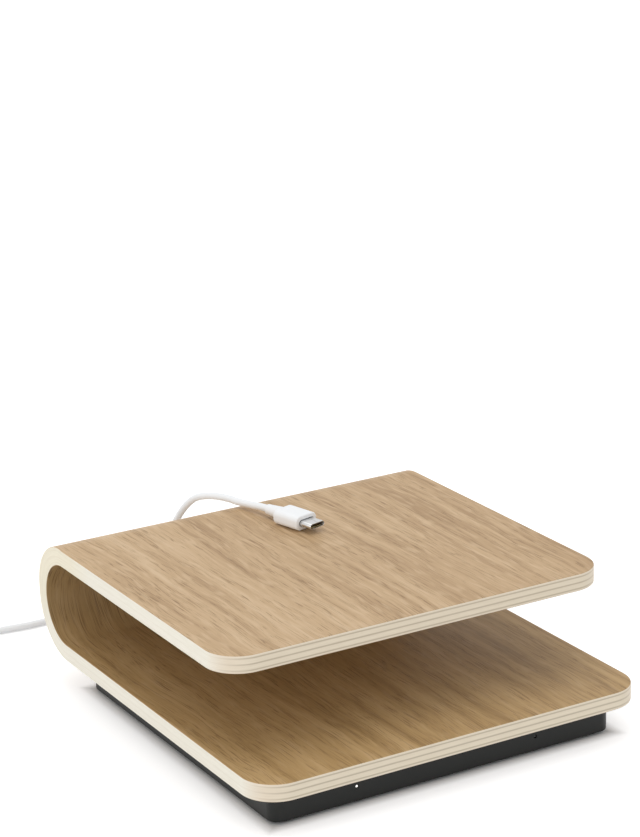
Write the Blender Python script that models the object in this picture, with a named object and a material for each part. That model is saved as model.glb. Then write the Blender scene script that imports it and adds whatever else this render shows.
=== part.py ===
"""Bent plywood desk charger: two charging places side by side in its slot, a shelf on top.

A strip of oak-faced birch plywood is bent into a C that opens to the front. A black moulded
tray under its lower leg holds two charging coils, a circuit board, a steel ballast plate and
two status lights. One lead brings the power in at the back, and a short one runs from the
second socket over the bend to the top shelf.

Metres, +Z up, +Y towards the back. The origin is on the desk, under the middle of the shell.
"""
import math

import bmesh
import bpy
from mathutils import Matrix, Vector

# Clearances and counts that every piece shares
touch_gap = 0.0003
cut_overrun = 0.001
weld_distance = 0.00001
sharp_angle = math.radians(35)
round_sides = 20
boss_sides = 16
small_sides = 8

# Plywood shell
shell_width = 0.1772
shell_depth = 0.1932
ply_thickness = 0.00735
slot_height = 0.0351
top_setback = 0.0256
shell_corner_radius = 0.0148
shell_edge_ease = 0.0004
bend_fullness = 0.0024
bend_steps = 24
corner_steps = 7
pocket_roof_thickness = 0.00275
pilot_roof_thickness = 0.0025

# Base tray
base_height = 0.0139
tray_side_inset = 0.0101
tray_front_inset = 0.0094
tray_rear_inset = 0.0268
tray_corner_radius = 0.0050
tray_wall = 0.0022
tray_floor = 0.0024
tray_edge_ease = 0.0004
tray_corner_steps = 4

# Rubber feet
foot_radius = 0.0065
foot_height = 0.0020
foot_stand = 0.0008
foot_edge_ease = 0.0004
foot_side_distance = 0.021
foot_end_distance = 0.0115

# Wood screws that clamp tray and deck to the plywood
screw_radius = 0.0013
screw_head_radius = 0.0026
screw_head_height = 0.0015
screw_head_depth = 0.0005
screw_edge_distance = 0.0083
screw_front_reach = 0.034
screw_board_gap = 0.0025
boss_wall = 0.0013

# Coil deck
deck_thickness = 0.0016
cup_plate_thickness = 0.0014
cup_rim_thickness = 0.0012
cup_rim_height = 0.0006
pocket_clearance = 0.0006
lead_slot_width = 0.0044

# Charging coils and ferrites: their places are shares of the tray's half width and depth
coil_place_shares = (0.54128, 0.52994)
coil_wire_radius = 0.00065
coil_turns = 6
coil_inner_radius = 0.0105
coil_pitch = 0.0019
coil_lead_offset = 0.00115
coil_lead_height = 0.0014
ferrite_margin = 0.0020
ferrite_thickness = 0.0010
points_per_turn = 24

# Steel ballast plate
ballast_thickness = 0.0025
ballast_side_margin = 0.011
ballast_end_margin = 0.004
ballast_corner_radius = 0.004
ballast_rib_width = 0.0012
ballast_rib_length = 0.030

# Main board and its posts
board_side_gap = 0.0163
board_depth = 0.0355
board_thickness = 0.0016
board_rear_gap = 0.0010
board_post_height = 0.0018
board_post_radius = 0.0026
board_corner_radius = 0.0015
board_screw_inset = 0.0040
small_screw_radius = 0.0009
small_screw_head_radius = 0.0019
small_screw_head_height = 0.0011
small_screw_grip = 0.0022

# Parts on the main board, as shares of its width from the left and its depth from the front
controller_size = (0.0070, 0.0070, 0.0010)
controller_place_shares = (0.500, 0.560)
driver_size = (0.0060, 0.0060, 0.0010)
driver_place_shares = (0.740, 0.400)
inductor_size = (0.0100, 0.0100, 0.0038)
inductor_place_shares = (0.868, 0.560)
capacitor_radius = 0.00315
capacitor_height = 0.0042
capacitor_base_height = 0.0010
capacitor_place_shares = (0.765, 0.745)
tuning_size = (0.0057, 0.0050, 0.0025)
tuning_near_place_shares = (0.655, 0.170)
tuning_far_place_shares = (0.745, 0.170)
ribbon_socket_size = (0.0080, 0.0040, 0.0022)
chip_edge_ease = 0.0003
coil_pad_place_share = 0.110

# Sockets in the back wall
power_socket_x = 0.018
output_socket_x = -0.016
socket_wall = 0.00035
socket_depth = 0.0069
socket_back_thickness = 0.0005
socket_recess = 0.0004
tongue_width = 0.0067
tongue_thickness = 0.0007
tongue_length = 0.0046

# Plugs: a metal shell in a moulded grip with a tapered relief
plug_shell_width = 0.00825
plug_shell_height = 0.0024
plug_shell_wall = 0.0003
plug_shell_reach = 0.0066
plug_shell_bore = 0.0058
plug_shell_seat = 0.0012
plug_shell_play = 0.00035
grip_width = 0.0118
grip_height = 0.0064
grip_length = 0.0150
grip_corner_radius = 0.0025
grip_edge_ease = 0.0006
relief_length = 0.0090
relief_end_radius = 0.0022
relief_root_radius = 0.0029
plug_corner_steps = 3

# Status lights, their board and the ribbon that feeds it
light_height = 0.0070
led_size = (0.0024, 0.0016, 0.0018)
light_board_margin = 0.006
light_board_depth = 0.0065
light_board_thickness = 0.0010
light_board_front_gap = 0.0026
light_screw_spacing = 0.050
light_post_radius = 0.0024
pipe_radius = 0.0005
pipe_flange_radius = 0.0012
pipe_flange_thickness = 0.0007
pipe_recess = 0.0002
ribbon_width = 0.0060
ribbon_thickness = 0.0004
ribbon_place_share = 0.57083
ribbon_lap = 0.0030

# Leads
cord_radius = 0.0016
cord_step = 0.0064
route_substeps = 16
wound_turns = 8
wound_climb_turns = 0.5
wound_outer_radius = 0.0256
wound_pitch = 0.00375
wound_layer_step = 0.00365
wound_dip = 0.0005
wound_centre_x = -0.118
wound_centre_behind = 0.0768
tie_width = 0.008
tie_thickness = 0.0006
tie_play = 0.0004
supply_plug_x = -0.1680
supply_plug_behind = 0.0512
supply_bend_share = 0.7
device_plug_x = 0.0098
device_plug_ahead = 0.0601
device_plug_turn = math.radians(14)
# Routes: places across, behind the shell's rear and above the desk
power_cord_route = (
    (0.0180, 0.0144, 0.0072), (0.0178, 0.0239, 0.0034), (0.0160, 0.0334, 0.0018),
    (0.0100, 0.0426, 0.0016), (0.0000, 0.0486, 0.0016), (-0.0150, 0.0516, 0.0016),
    (-0.0350, 0.0518, 0.0016), (-0.0530, 0.0508, 0.0016), (-0.0655, 0.0500, 0.0016),
    (-0.0745, 0.0500, 0.0016), (-0.0840, 0.0512, 0.0016), (-0.0930, 0.0520, 0.0017),
    (-0.1020, 0.0517, 0.0021))
# This one climbs with the shell, so its heights are shares of the shell's own
charge_cord_route_shares = (
    (-0.0160, 0.0144, 0.1507), (-0.0160, 0.0232, 0.1915), (-0.0160, 0.0284, 0.2826),
    (-0.0157, 0.0290, 0.4113), (-0.0151, 0.0260, 0.5432), (-0.0143, 0.0208, 0.6750),
    (-0.0135, 0.0158, 0.7943), (-0.0123, 0.0119, 0.8791), (-0.0107, 0.0080, 0.9482),
    (-0.0090, 0.0038, 0.9953), (-0.0068, -0.0017, 1.0235), (-0.0045, -0.0077, 1.0377),
    (-0.0020, -0.0137, 1.0392), (-0.0004, -0.0192, 1.0377))

# Places worked out from the sizes above
shell_front = -shell_depth / 2
shell_rear = shell_depth / 2
shell_half_width = shell_width / 2
underside_z = base_height
shelf_z = base_height + ply_thickness
slot_top_z = shelf_z + slot_height
top_z = slot_top_z + ply_thickness
bend_inner_radius = slot_height / 2
bend_outer_radius = bend_inner_radius + ply_thickness
bend_y = shell_rear - bend_outer_radius
bend_z = shelf_z + bend_inner_radius

tray_half_width = shell_half_width - tray_side_inset
tray_front = shell_front + tray_front_inset
tray_rear = shell_rear - tray_rear_inset
tray_top = underside_z - touch_gap
tray_floor_top = foot_stand + tray_floor
inner_half_width = tray_half_width - tray_wall
inner_front = tray_front + tray_wall
inner_rear = tray_rear - tray_wall
coil_x = coil_place_shares[0] * inner_half_width
coil_y = tray_front + coil_place_shares[1] * (tray_rear - tray_front)

screw_hole_radius = screw_radius + touch_gap
screw_recess_radius = screw_head_radius + touch_gap
screw_recess_depth = screw_head_depth + screw_head_height + touch_gap
boss_radius = screw_recess_radius + boss_wall
pilot_top = shelf_z - pilot_roof_thickness
deck_top = underside_z - touch_gap
deck_bottom = deck_top - deck_thickness

pocket_top = shelf_z - pocket_roof_thickness
coil_z = pocket_top - touch_gap - coil_wire_radius
coil_outer_radius = coil_inner_radius + coil_turns * coil_pitch
ferrite_radius = coil_outer_radius + coil_wire_radius + ferrite_margin
ferrite_top = coil_z - coil_wire_radius - touch_gap
ferrite_bottom = ferrite_top - ferrite_thickness
cup_plate_top = ferrite_bottom - touch_gap
cup_plate_bottom = cup_plate_top - cup_plate_thickness
cup_bore_radius = ferrite_radius + touch_gap
cup_radius = cup_bore_radius + cup_rim_thickness
pocket_radius = cup_radius + pocket_clearance

board_bottom = tray_floor_top + board_post_height + touch_gap
board_top = board_bottom + board_thickness
board_width = 2 * (inner_half_width - board_side_gap)
board_rear = inner_rear - board_rear_gap
board_front = board_rear - board_depth
ribbon_x = (ribbon_place_share - 0.5) * board_width
front_screw_y = coil_y - screw_front_reach
rear_screw_y = board_front - screw_board_gap - boss_radius
part_z = board_top + touch_gap

socket_bore_width = plug_shell_width + 2 * plug_shell_play
socket_bore_height = plug_shell_height + 2 * plug_shell_play
socket_width = socket_bore_width + 2 * socket_wall
socket_height = socket_bore_height + 2 * socket_wall
socket_z = part_z + socket_height / 2
socket_mouth = tray_rear - socket_recess

light_board_top = light_height - led_size[2] / 2 - touch_gap
light_board_bottom = light_board_top - light_board_thickness
light_board_front = inner_front + light_board_front_gap
light_board_rear = light_board_front + light_board_depth
ballast_bottom = tray_floor_top + touch_gap
ballast_top = ballast_bottom + ballast_thickness
ballast_front = light_board_rear + ballast_end_margin
ballast_rear = rear_screw_y - boss_radius - ballast_end_margin
ballast_half_width = inner_half_width - ballast_side_margin

plug_length = grip_length + relief_length
wound_centre_y = shell_rear + wound_centre_behind
wound_z = tie_thickness + touch_gap + cord_radius
wound_inner_radius = wound_outer_radius - wound_pitch * (wound_turns - wound_climb_turns) / 2

sides = (("left", -1), ("right", 1))
screw_spots = [
    (side * (tray_half_width - screw_edge_distance), y)
    for y in (tray_front + screw_edge_distance, tray_rear - screw_edge_distance)
    for side in (-1, 1)
] + [(0, front_screw_y), (0, rear_screw_y)]
foot_spots = {
    f"foot_{end}_{side_name}": (side * (tray_half_width - foot_side_distance), y)
    for end, y in (("front", tray_front + foot_end_distance),
                   ("rear", tray_rear - foot_end_distance))
    for side_name, side in sides
}
board_screw_spots = [
    (side * (board_width / 2 - board_screw_inset), y)
    for y in (board_front + board_screw_inset, board_rear - board_screw_inset)
    for side in (-1, 1)
]
light_screw_spots = [
    (side * light_screw_spacing / 2, (light_board_front + light_board_rear) / 2)
    for side in (-1, 1)
]


def clear_scene():
    for item in list(bpy.data.objects):
        bpy.data.objects.remove(item, do_unlink=True)


def make_material(name, color, roughness, metallic=0.0):
    material = bpy.data.materials.new(name)
    material.use_nodes = True
    shader = material.node_tree.nodes["Principled BSDF"]
    shader.inputs["Base Color"].default_value = (*color, 1.0)
    shader.inputs["Roughness"].default_value = roughness
    shader.inputs["Metallic"].default_value = metallic
    return material


def add_piece(name, bm, material):
    """Turn a bmesh into a named object with its own material."""
    bmesh.ops.remove_doubles(bm, verts=bm.verts, dist=weld_distance)
    bmesh.ops.recalc_face_normals(bm, faces=bm.faces)
    mesh = bpy.data.meshes.new(name)
    bm.to_mesh(mesh)
    bm.free()
    mesh.shade_smooth()
    mesh.set_sharp_from_angle(angle=sharp_angle)
    mesh.materials.append(material)
    piece = bpy.data.objects.new(name, mesh)
    bpy.context.collection.objects.link(piece)
    return piece


def add_tool(name, bm, material):
    """A guide solid for a Boolean: never a piece of its own."""
    tool = add_piece(name, bm, material)
    tool.hide_render = True
    tool.display_type = "WIRE"
    return tool


def combine(piece, tool, operation="DIFFERENCE"):
    step = piece.modifiers.new(tool.name, "BOOLEAN")
    step.operation = operation
    step.solver = "EXACT"
    step.object = tool


def ease_edges(piece, width, steps=1):
    bevel = piece.modifiers.new("eased_edges", "BEVEL")
    bevel.width = width
    bevel.segments = steps
    bevel.limit_method = "ANGLE"
    bevel.angle_limit = sharp_angle


def turned(bm, outline, place, axis=(0, 0, 1), steps=round_sides):
    """Spin an outline of (radius, height) pairs once round an axis through a place."""
    before = set(bm.verts)
    chain = [bm.verts.new((radius, 0, height)) for radius, height in outline]
    edges = [bm.edges.new(pair) for pair in zip(chain, chain[1:])]
    bmesh.ops.spin(bm, geom=chain + edges, cent=(0, 0, 0), axis=(0, 0, 1), angle=math.tau,
                   steps=steps, use_merge=True)
    made = [vert for vert in bm.verts if vert not in before]
    bmesh.ops.remove_doubles(bm, verts=made, dist=weld_distance)
    made = [vert for vert in made if vert.is_valid]
    turn = Vector((0, 0, 1)).rotation_difference(Vector(axis)).to_matrix().to_4x4()
    bmesh.ops.transform(bm, matrix=Matrix.Translation(place) @ turn, verts=made)


def rod(bm, radius, low, high, place, axis=(0, 0, 1), steps=round_sides):
    turned(bm, [(0, high), (radius, high), (radius, low), (0, low)], place, axis, steps)


def block(bm, low, high, corner=0, steps=tray_corner_steps):
    """A box between two corners, its upright edges rounded where a radius is given."""
    size = Vector(high) - Vector(low)
    made = bmesh.ops.create_cube(bm, size=1)["verts"]
    bmesh.ops.scale(bm, vec=size, verts=made)
    bmesh.ops.translate(bm, vec=Vector(low) + size / 2, verts=made)
    if corner:
        edges = {edge for vert in made for edge in vert.link_edges}
        upright = [edge for edge in edges
                   if abs(edge.verts[0].co.z - edge.verts[1].co.z) > size.z / 2]
        bmesh.ops.bevel(bm, geom=upright, offset=corner, segments=steps, profile=0.5,
                        affect="EDGES")


def oblong(width, height, corner, y, steps=plug_corner_steps):
    """A rounded rectangle across the Y axis, as points in one turn."""
    corner = min(corner, width / 2, height / 2)
    points = []
    for quarter, (side, up) in enumerate(((1, 1), (-1, 1), (-1, -1), (1, -1))):
        for step in range(steps + 1):
            angle = math.pi / 2 * (quarter + step / steps)
            points.append(Vector((side * (width / 2 - corner) + corner * math.cos(angle), y,
                                  up * (height / 2 - corner) + corner * math.sin(angle))))
    return points


def lofted(bm, rings, place=(0, 0, 0)):
    """Skin a row of rings with equal numbers of points, and close both ends."""
    loops = [[bm.verts.new(point + Vector(place)) for point in ring] for ring in rings]
    for first, second in zip(loops, loops[1:]):
        for index in range(len(first)):
            bm.faces.new((first[index - 1], first[index], second[index], second[index - 1]))
    bm.faces.new(loops[0])
    bm.faces.new(reversed(loops[-1]))


def smooth_route(points, step):
    """Points at an even step along a smooth curve through the route's own points."""
    route = [Vector(point) for point in points]
    padded = [2 * route[0] - route[1]] + route + [2 * route[-1] - route[-2]]
    fine = []
    for p0, p1, p2, p3 in zip(padded, padded[1:], padded[2:], padded[3:]):
        for part in range(route_substeps):
            t = part / route_substeps
            fine.append((2 * p1 + (p2 - p0) * t + (2 * p0 - 5 * p1 + 4 * p2 - p3) * t * t
                         + (3 * p1 - p0 - 3 * p2 + p3) * t * t * t) / 2)
    fine.append(route[-1])
    lengths = [0.0]
    for first, second in zip(fine, fine[1:]):
        lengths.append(lengths[-1] + (second - first).length)
    count = max(2, round(lengths[-1] / step))
    even = []
    index = 0
    for part in range(count + 1):
        goal = lengths[-1] * part / count
        while index < len(lengths) - 2 and lengths[index + 1] < goal:
            index += 1
        span = lengths[index + 1] - lengths[index]
        even.append(fine[index].lerp(fine[index + 1], (goal - lengths[index]) / span))
    return even


def add_tube(name, points, radius, resolution, material):
    """A filled round tube along points: resolution 2 gives eight sides, 1 gives six."""
    curve = bpy.data.curves.new(name, "CURVE")
    curve.dimensions = "3D"
    curve.bevel_depth = radius
    curve.bevel_resolution = resolution
    curve.use_fill_caps = True
    spline = curve.splines.new("POLY")
    spline.points.add(len(points) - 1)
    for knot, point in zip(spline.points, points):
        knot.co = (*point, 1.0)
    curve.materials.append(material)
    piece = bpy.data.objects.new(name, curve)
    bpy.context.collection.objects.link(piece)
    return piece


def least_gap(points, radius, skip):
    """The smallest gap between stretches of a tube that lie at least skip points apart."""
    best = math.inf
    for index, first in enumerate(points):
        for second in points[index + skip:]:
            best = min(best, (first - second).length)
    return best - 2 * radius


def shell_outline():
    """The C section of the bent plywood, in one turn, as (y, z) points.

    The upper back of the bend is a little fuller than the lower back, where the press bore down.
    """
    def arc(radius, start, end, steps, shift=0.0):
        angles = [start + (end - start) * part / steps for part in range(steps + 1)]
        return [(bend_y + shift + radius * math.cos(a), bend_z + shift + radius * math.sin(a))
                for a in angles]

    top_front = shell_front + top_setback
    return ([(shell_front, underside_z)]
            + arc(bend_outer_radius, -math.pi / 2, 0, bend_steps // 2)
            + arc(bend_outer_radius - bend_fullness, 0, math.pi / 2, bend_steps // 2,
                  bend_fullness)
            + [(top_front, top_z), (top_front, slot_top_z)]
            + arc(bend_inner_radius, math.pi / 2, -math.pi / 2, bend_steps)
            + [(shell_front, shelf_z)])


def make_shell(material, tool_material):
    bm = bmesh.new()
    section = bm.faces.new([bm.verts.new((-shell_half_width, y, z)) for y, z in shell_outline()])
    pulled = bmesh.ops.extrude_face_region(bm, geom=[section])["geom"]
    ends = [item for item in pulled if isinstance(item, bmesh.types.BMVert)]
    bmesh.ops.translate(bm, vec=(shell_width, 0, 0), verts=ends)
    front_ends = [edge for edge in bm.edges
                  if abs(edge.verts[0].co.y - edge.verts[1].co.y) < weld_distance
                  and abs(edge.verts[0].co.x - edge.verts[1].co.x) < weld_distance
                  and edge.verts[0].co.y < 0]
    bmesh.ops.bevel(bm, geom=front_ends, offset=shell_corner_radius, segments=corner_steps,
                    profile=0.5, affect="EDGES")
    shell = add_piece("plywood_shell", bm, material)
    ease_edges(shell, shell_edge_ease)

    bm = bmesh.new()
    for _, side in sides:
        rod(bm, pocket_radius, underside_z - cut_overrun, pocket_top,
            (side * coil_x, coil_y, 0), steps=2 * round_sides)
    for x, y in screw_spots:
        rod(bm, screw_hole_radius, underside_z - cut_overrun, pilot_top, (x, y, 0),
            steps=small_sides)
    combine(shell, add_tool("shell_milling", bm, tool_material))


def make_tray(material, tool_material):
    bm = bmesh.new()
    block(bm, (-tray_half_width, tray_front, foot_stand), (tray_half_width, tray_rear, tray_top),
          tray_corner_radius)
    tray = add_piece("base_tray", bm, material)
    ease_edges(tray, tray_edge_ease)

    bm = bmesh.new()
    block(bm, (-inner_half_width, inner_front, tray_floor_top),
          (inner_half_width, inner_rear, tray_top + cut_overrun), tray_corner_radius - tray_wall)
    combine(tray, add_tool("tray_hollow", bm, tool_material))

    bm = bmesh.new()
    root = tray_floor_top - tray_floor / 2
    for x, y in screw_spots:
        rod(bm, boss_radius, root, deck_bottom - touch_gap, (x, y, 0), steps=boss_sides)
    for x, y in board_screw_spots:
        rod(bm, board_post_radius, root, board_bottom - touch_gap, (x, y, 0), steps=small_sides)
    for x, y in light_screw_spots:
        rod(bm, light_post_radius, root, light_board_bottom - touch_gap, (x, y, 0),
            steps=small_sides)
    middle = (ballast_front + ballast_rear) / 2
    for side in (-1, 1):
        inner = side * (ballast_half_width + touch_gap)
        outer = inner + side * ballast_rib_width
        block(bm, (min(inner, outer), middle - ballast_rib_length / 2, root),
              (max(inner, outer), middle + ballast_rib_length / 2, ballast_top))
    for y in (ballast_front - touch_gap - ballast_rib_width, ballast_rear + touch_gap):
        for side in (-1, 1):
            centre = side * ballast_half_width / 2
            block(bm, (centre - ballast_rib_length / 2, y, root),
                  (centre + ballast_rib_length / 2, y + ballast_rib_width, ballast_top))
    combine(tray, add_tool("tray_bosses", bm, tool_material), "UNION")

    bm = bmesh.new()
    for x, y in screw_spots:
        recess_top = foot_stand + screw_recess_depth
        turned(bm, [(0, deck_bottom), (screw_hole_radius, deck_bottom),
                    (screw_hole_radius, recess_top), (screw_recess_radius, recess_top),
                    (screw_recess_radius, foot_stand - cut_overrun),
                    (0, foot_stand - cut_overrun)], (x, y, 0), steps=boss_sides)
    for x, y in foot_spots.values():
        rod(bm, foot_radius + touch_gap, foot_stand - cut_overrun, foot_height + touch_gap,
            (x, y, 0))
    for x, y in board_screw_spots:
        rod(bm, small_screw_radius + touch_gap, board_top - board_thickness - small_screw_grip
            - 2 * touch_gap, board_bottom, (x, y, 0), steps=small_sides)
    for x, y in light_screw_spots:
        rod(bm, small_screw_radius + touch_gap, tray_floor_top - tray_floor / 2,
            light_board_bottom, (x, y, 0), steps=small_sides)
    for x in (power_socket_x, output_socket_x):
        play = 2 * touch_gap
        lofted(bm, [oblong(socket_width + play, socket_height + play, socket_height / 2, y)
                    for y in (inner_rear - cut_overrun, tray_rear + cut_overrun)],
               (x, 0, socket_z))
    for _, side in sides:
        rod(bm, pipe_radius + touch_gap, -cut_overrun, tray_wall + cut_overrun,
            (side * coil_x, tray_front, light_height), (0, 1, 0), small_sides)
    combine(tray, add_tool("tray_holes", bm, tool_material))


def make_deck(material, tool_material):
    """A plate inside the tray's rim, with a cup under each coil that rises into its pocket."""
    bm = bmesh.new()
    block(bm, (-inner_half_width + touch_gap, inner_front + touch_gap, deck_bottom),
          (inner_half_width - touch_gap, inner_rear - touch_gap, deck_top),
          tray_corner_radius - tray_wall)
    deck = add_piece("coil_deck", bm, material)

    bm = bmesh.new()
    root, rim_top = deck_bottom + deck_thickness / 2, cup_plate_top + cup_rim_height
    for _, side in sides:
        turned(bm, [(0, cup_plate_top), (cup_bore_radius, cup_plate_top),
                    (cup_bore_radius, rim_top), (cup_radius, rim_top), (cup_radius, root),
                    (0, root)], (side * coil_x, coil_y, 0), steps=2 * round_sides)
    combine(deck, add_tool("deck_cups", bm, tool_material), "UNION")

    bm = bmesh.new()
    for _, side in sides:
        rod(bm, cup_bore_radius - cup_rim_thickness, deck_bottom - cut_overrun, cup_plate_bottom,
            (side * coil_x, coil_y, 0), steps=2 * round_sides)
    for x, y in screw_spots:
        rod(bm, screw_hole_radius, deck_bottom - cut_overrun, deck_top + cut_overrun, (x, y, 0),
            steps=small_sides)
    combine(deck, add_tool("deck_hollows", bm, tool_material))

    bm = bmesh.new()
    for _, side in sides:
        lead_slot(bm, side, cup_plate_bottom - touch_gap, cup_plate_top + touch_gap,
                  cup_bore_radius - 2 * cup_rim_thickness)
    combine(deck, add_tool("deck_slots", bm, tool_material))


def lead_slot(bm, side, low, high, reach):
    """The slot that lets both coil leads down, from inside the first turn out to a radius."""
    centre = side * coil_x
    block(bm, (centre - lead_slot_width / 2, coil_y + coil_inner_radius - lead_slot_width / 2,
               low), (centre + lead_slot_width / 2, coil_y + reach, high))


def make_ferrite(side_name, side, material, tool_material):
    bm = bmesh.new()
    rod(bm, ferrite_radius, ferrite_bottom, ferrite_top,
        (side * coil_x, coil_y, 0), steps=2 * round_sides)
    ferrite = add_piece(f"ferrite_{side_name}", bm, material)
    bm = bmesh.new()
    lead_slot(bm, side, ferrite_bottom - cut_overrun, ferrite_top + cut_overrun,
              ferrite_radius + cut_overrun)
    combine(ferrite, add_tool(f"ferrite_slot_{side_name}", bm, tool_material))


def coil_points(side):
    """A flat spiral whose ends drop through the slot and run back to the board's pads."""
    centre = Vector((side * coil_x, coil_y, 0))
    start = math.pi / 2 + math.asin(coil_lead_offset / coil_inner_radius)
    end = math.pi / 2 - math.asin(coil_lead_offset / coil_outer_radius) + math.tau * coil_turns
    count = points_per_turn * coil_turns
    spiral = []
    for part in range(count + 1):
        angle = start + (end - start) * part / count
        radius = coil_inner_radius + (coil_outer_radius - coil_inner_radius) * part / count
        spiral.append(centre + Vector((radius * math.cos(angle), radius * math.sin(angle), coil_z)))
    run_z = deck_bottom - coil_lead_height
    pad_y = board_front + coil_pad_place_share * board_depth

    def lead(top, offset):
        x = centre.x + offset
        bend = 2 * coil_wire_radius
        return [(x, top.y, coil_z - bend), (x, top.y, run_z + bend), (x, top.y + bend, run_z),
                (x, pad_y - bend, run_z), (x, pad_y, run_z - bend), (x, pad_y, part_z)]

    first = lead(spiral[0], -coil_lead_offset)
    last = lead(spiral[-1], coil_lead_offset)
    return [Vector(point) for point in reversed(first)] + spiral + [Vector(p) for p in last]


def make_coil(side_name, side, material):
    points = coil_points(side)
    add_tube(f"charge_coil_{side_name}", points, coil_wire_radius, 1, material)
    gap = least_gap(points, coil_wire_radius, points_per_turn // 2)
    print(f"least gap in charge_coil_{side_name}: {gap * 1000:.2f} mm")


def make_ballast(material, tool_material):
    bm = bmesh.new()
    block(bm, (-ballast_half_width, ballast_front, ballast_bottom),
          (ballast_half_width, ballast_rear, ballast_top), ballast_corner_radius)
    ballast = add_piece("ballast_plate", bm, material)
    bm = bmesh.new()
    rod(bm, boss_radius + touch_gap, ballast_bottom - cut_overrun, ballast_top + cut_overrun,
        (0, front_screw_y, 0))
    combine(ballast, add_tool("ballast_hole", bm, tool_material))


def make_feet(material):
    for name, (x, y) in foot_spots.items():
        bm = bmesh.new()
        edge = foot_radius - foot_edge_ease
        turned(bm, [(0, foot_height), (foot_radius, foot_height), (foot_radius, foot_edge_ease),
                    (edge, 0), (0, 0)], (x, y, 0))
        add_piece(name, bm, material)


def make_wood_screws(material):
    """Countersunk screws, heads sunk in the tray and tips in the plywood's pilot holes."""
    low = foot_stand + screw_head_depth
    socket = screw_head_height / 2
    tip = pilot_top - touch_gap
    for index, (x, y) in enumerate(screw_spots, start=1):
        bm = bmesh.new()
        turned(bm, [(0, tip), (screw_radius / 2, tip), (screw_radius, tip - 2 * screw_radius),
                    (screw_radius, low + screw_head_height), (screw_head_radius, low + socket),
                    (screw_head_radius, low), (screw_radius, low),
                    (screw_radius / 2, low + socket), (0, low + socket)],
               (x, y, 0), steps=small_sides)
        add_piece(f"wood_screw_{index}", bm, material)


def make_small_screws(names, spots, seat_z, material):
    """Pan-head screws that hold a board on its posts."""
    head_z = seat_z + touch_gap
    for name, (x, y) in zip(names, spots):
        bm = bmesh.new()
        crown = head_z + small_screw_head_height
        turned(bm, [(0, crown - small_screw_head_height / 2),
                    (small_screw_radius / 2, crown - small_screw_head_height / 2),
                    (small_screw_radius / 2, crown), (small_screw_radius, crown),
                    (small_screw_head_radius, head_z + small_screw_head_height / 2),
                    (small_screw_head_radius, head_z), (small_screw_radius, head_z),
                    (small_screw_radius, seat_z - small_screw_grip),
                    (0, seat_z - small_screw_grip)],
               (x, y, 0), steps=small_sides)
        add_piece(name, bm, material)


def make_board(name, low, high, holes, material, tool_material):
    """A circuit board with rounded corners and a clearance hole for each screw."""
    bm = bmesh.new()
    block(bm, low, high, board_corner_radius, steps=2)
    board = add_piece(name, bm, material)
    bm = bmesh.new()
    for x, y in holes:
        rod(bm, small_screw_radius + touch_gap, low[2] - cut_overrun, high[2] + cut_overrun,
            (x, y, 0), steps=small_sides)
    combine(board, add_tool(f"{name}_holes", bm, tool_material))


def on_board(shares, side=1):
    """The place on the main board at shares of its width and depth."""
    x_share, y_share = shares
    return side * (x_share * board_width - board_width / 2), board_front + y_share * board_depth


def make_chip(name, size, place, base_z, material):
    width, depth, height = size
    bm = bmesh.new()
    block(bm, (place[0] - width / 2, place[1] - depth / 2, base_z),
          (place[0] + width / 2, place[1] + depth / 2, base_z + height), 2 * chip_edge_ease, 1)
    ease_edges(add_piece(name, bm, material), chip_edge_ease)


def make_capacitor(name, place, material):
    """A can capacitor: a rolled groove above its base, and a shallow crown."""
    groove = capacitor_radius - capacitor_base_height / 4
    base, top = part_z + capacitor_base_height, part_z + capacitor_height
    bm = bmesh.new()
    turned(bm, [(0, top), (groove, top), (capacitor_radius, top - capacitor_base_height / 4),
                (capacitor_radius, base + capacitor_base_height / 2), (groove, base),
                (capacitor_radius, base - capacitor_base_height / 2), (capacitor_radius, part_z),
                (0, part_z)], (*place, 0), steps=2 * small_sides)
    add_piece(name, bm, material)


def make_board_parts(materials):
    dark, grey, tin = materials["chip"], materials["inductor"], materials["tin"]
    make_chip("controller_chip", controller_size, on_board(controller_place_shares), part_z, dark)
    for side_name, side in sides:
        make_chip(f"coil_driver_{side_name}", driver_size, on_board(driver_place_shares, side),
                  part_z, dark)
        make_chip(f"inductor_{side_name}", inductor_size, on_board(inductor_place_shares, side),
                  part_z, grey)
        make_capacitor(f"capacitor_{side_name}", on_board(capacitor_place_shares, side), tin)
        for place_name, shares in (("near", tuning_near_place_shares),
                                   ("far", tuning_far_place_shares)):
            make_chip(f"tuning_capacitor_{place_name}_{side_name}", tuning_size,
                      on_board(shares, side), part_z, materials["film"])
    socket_y = board_front + ribbon_lap + touch_gap + ribbon_socket_size[1] / 2
    make_chip("ribbon_socket", ribbon_socket_size, (ribbon_x, socket_y), part_z,
              materials["white_plastic"])


def make_socket(name, x, material):
    """A port's metal shell, open to the back, with its contact tongue inside."""
    back = socket_mouth - socket_depth
    corner = socket_height / 2
    bore_corner = corner - socket_wall
    bm = bmesh.new()
    lofted(bm, [
        oblong(socket_width, socket_height, corner, back - socket_back_thickness),
        oblong(socket_width, socket_height, corner, socket_mouth),
        oblong(socket_bore_width, socket_bore_height, bore_corner, socket_mouth),
        oblong(socket_bore_width, socket_bore_height, bore_corner, back),
        oblong(tongue_width, tongue_thickness, tongue_thickness / 4, back),
        oblong(tongue_width, tongue_thickness, tongue_thickness / 4, back + tongue_length),
    ], (x, 0, socket_z))
    add_piece(name, bm, material)


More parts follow.
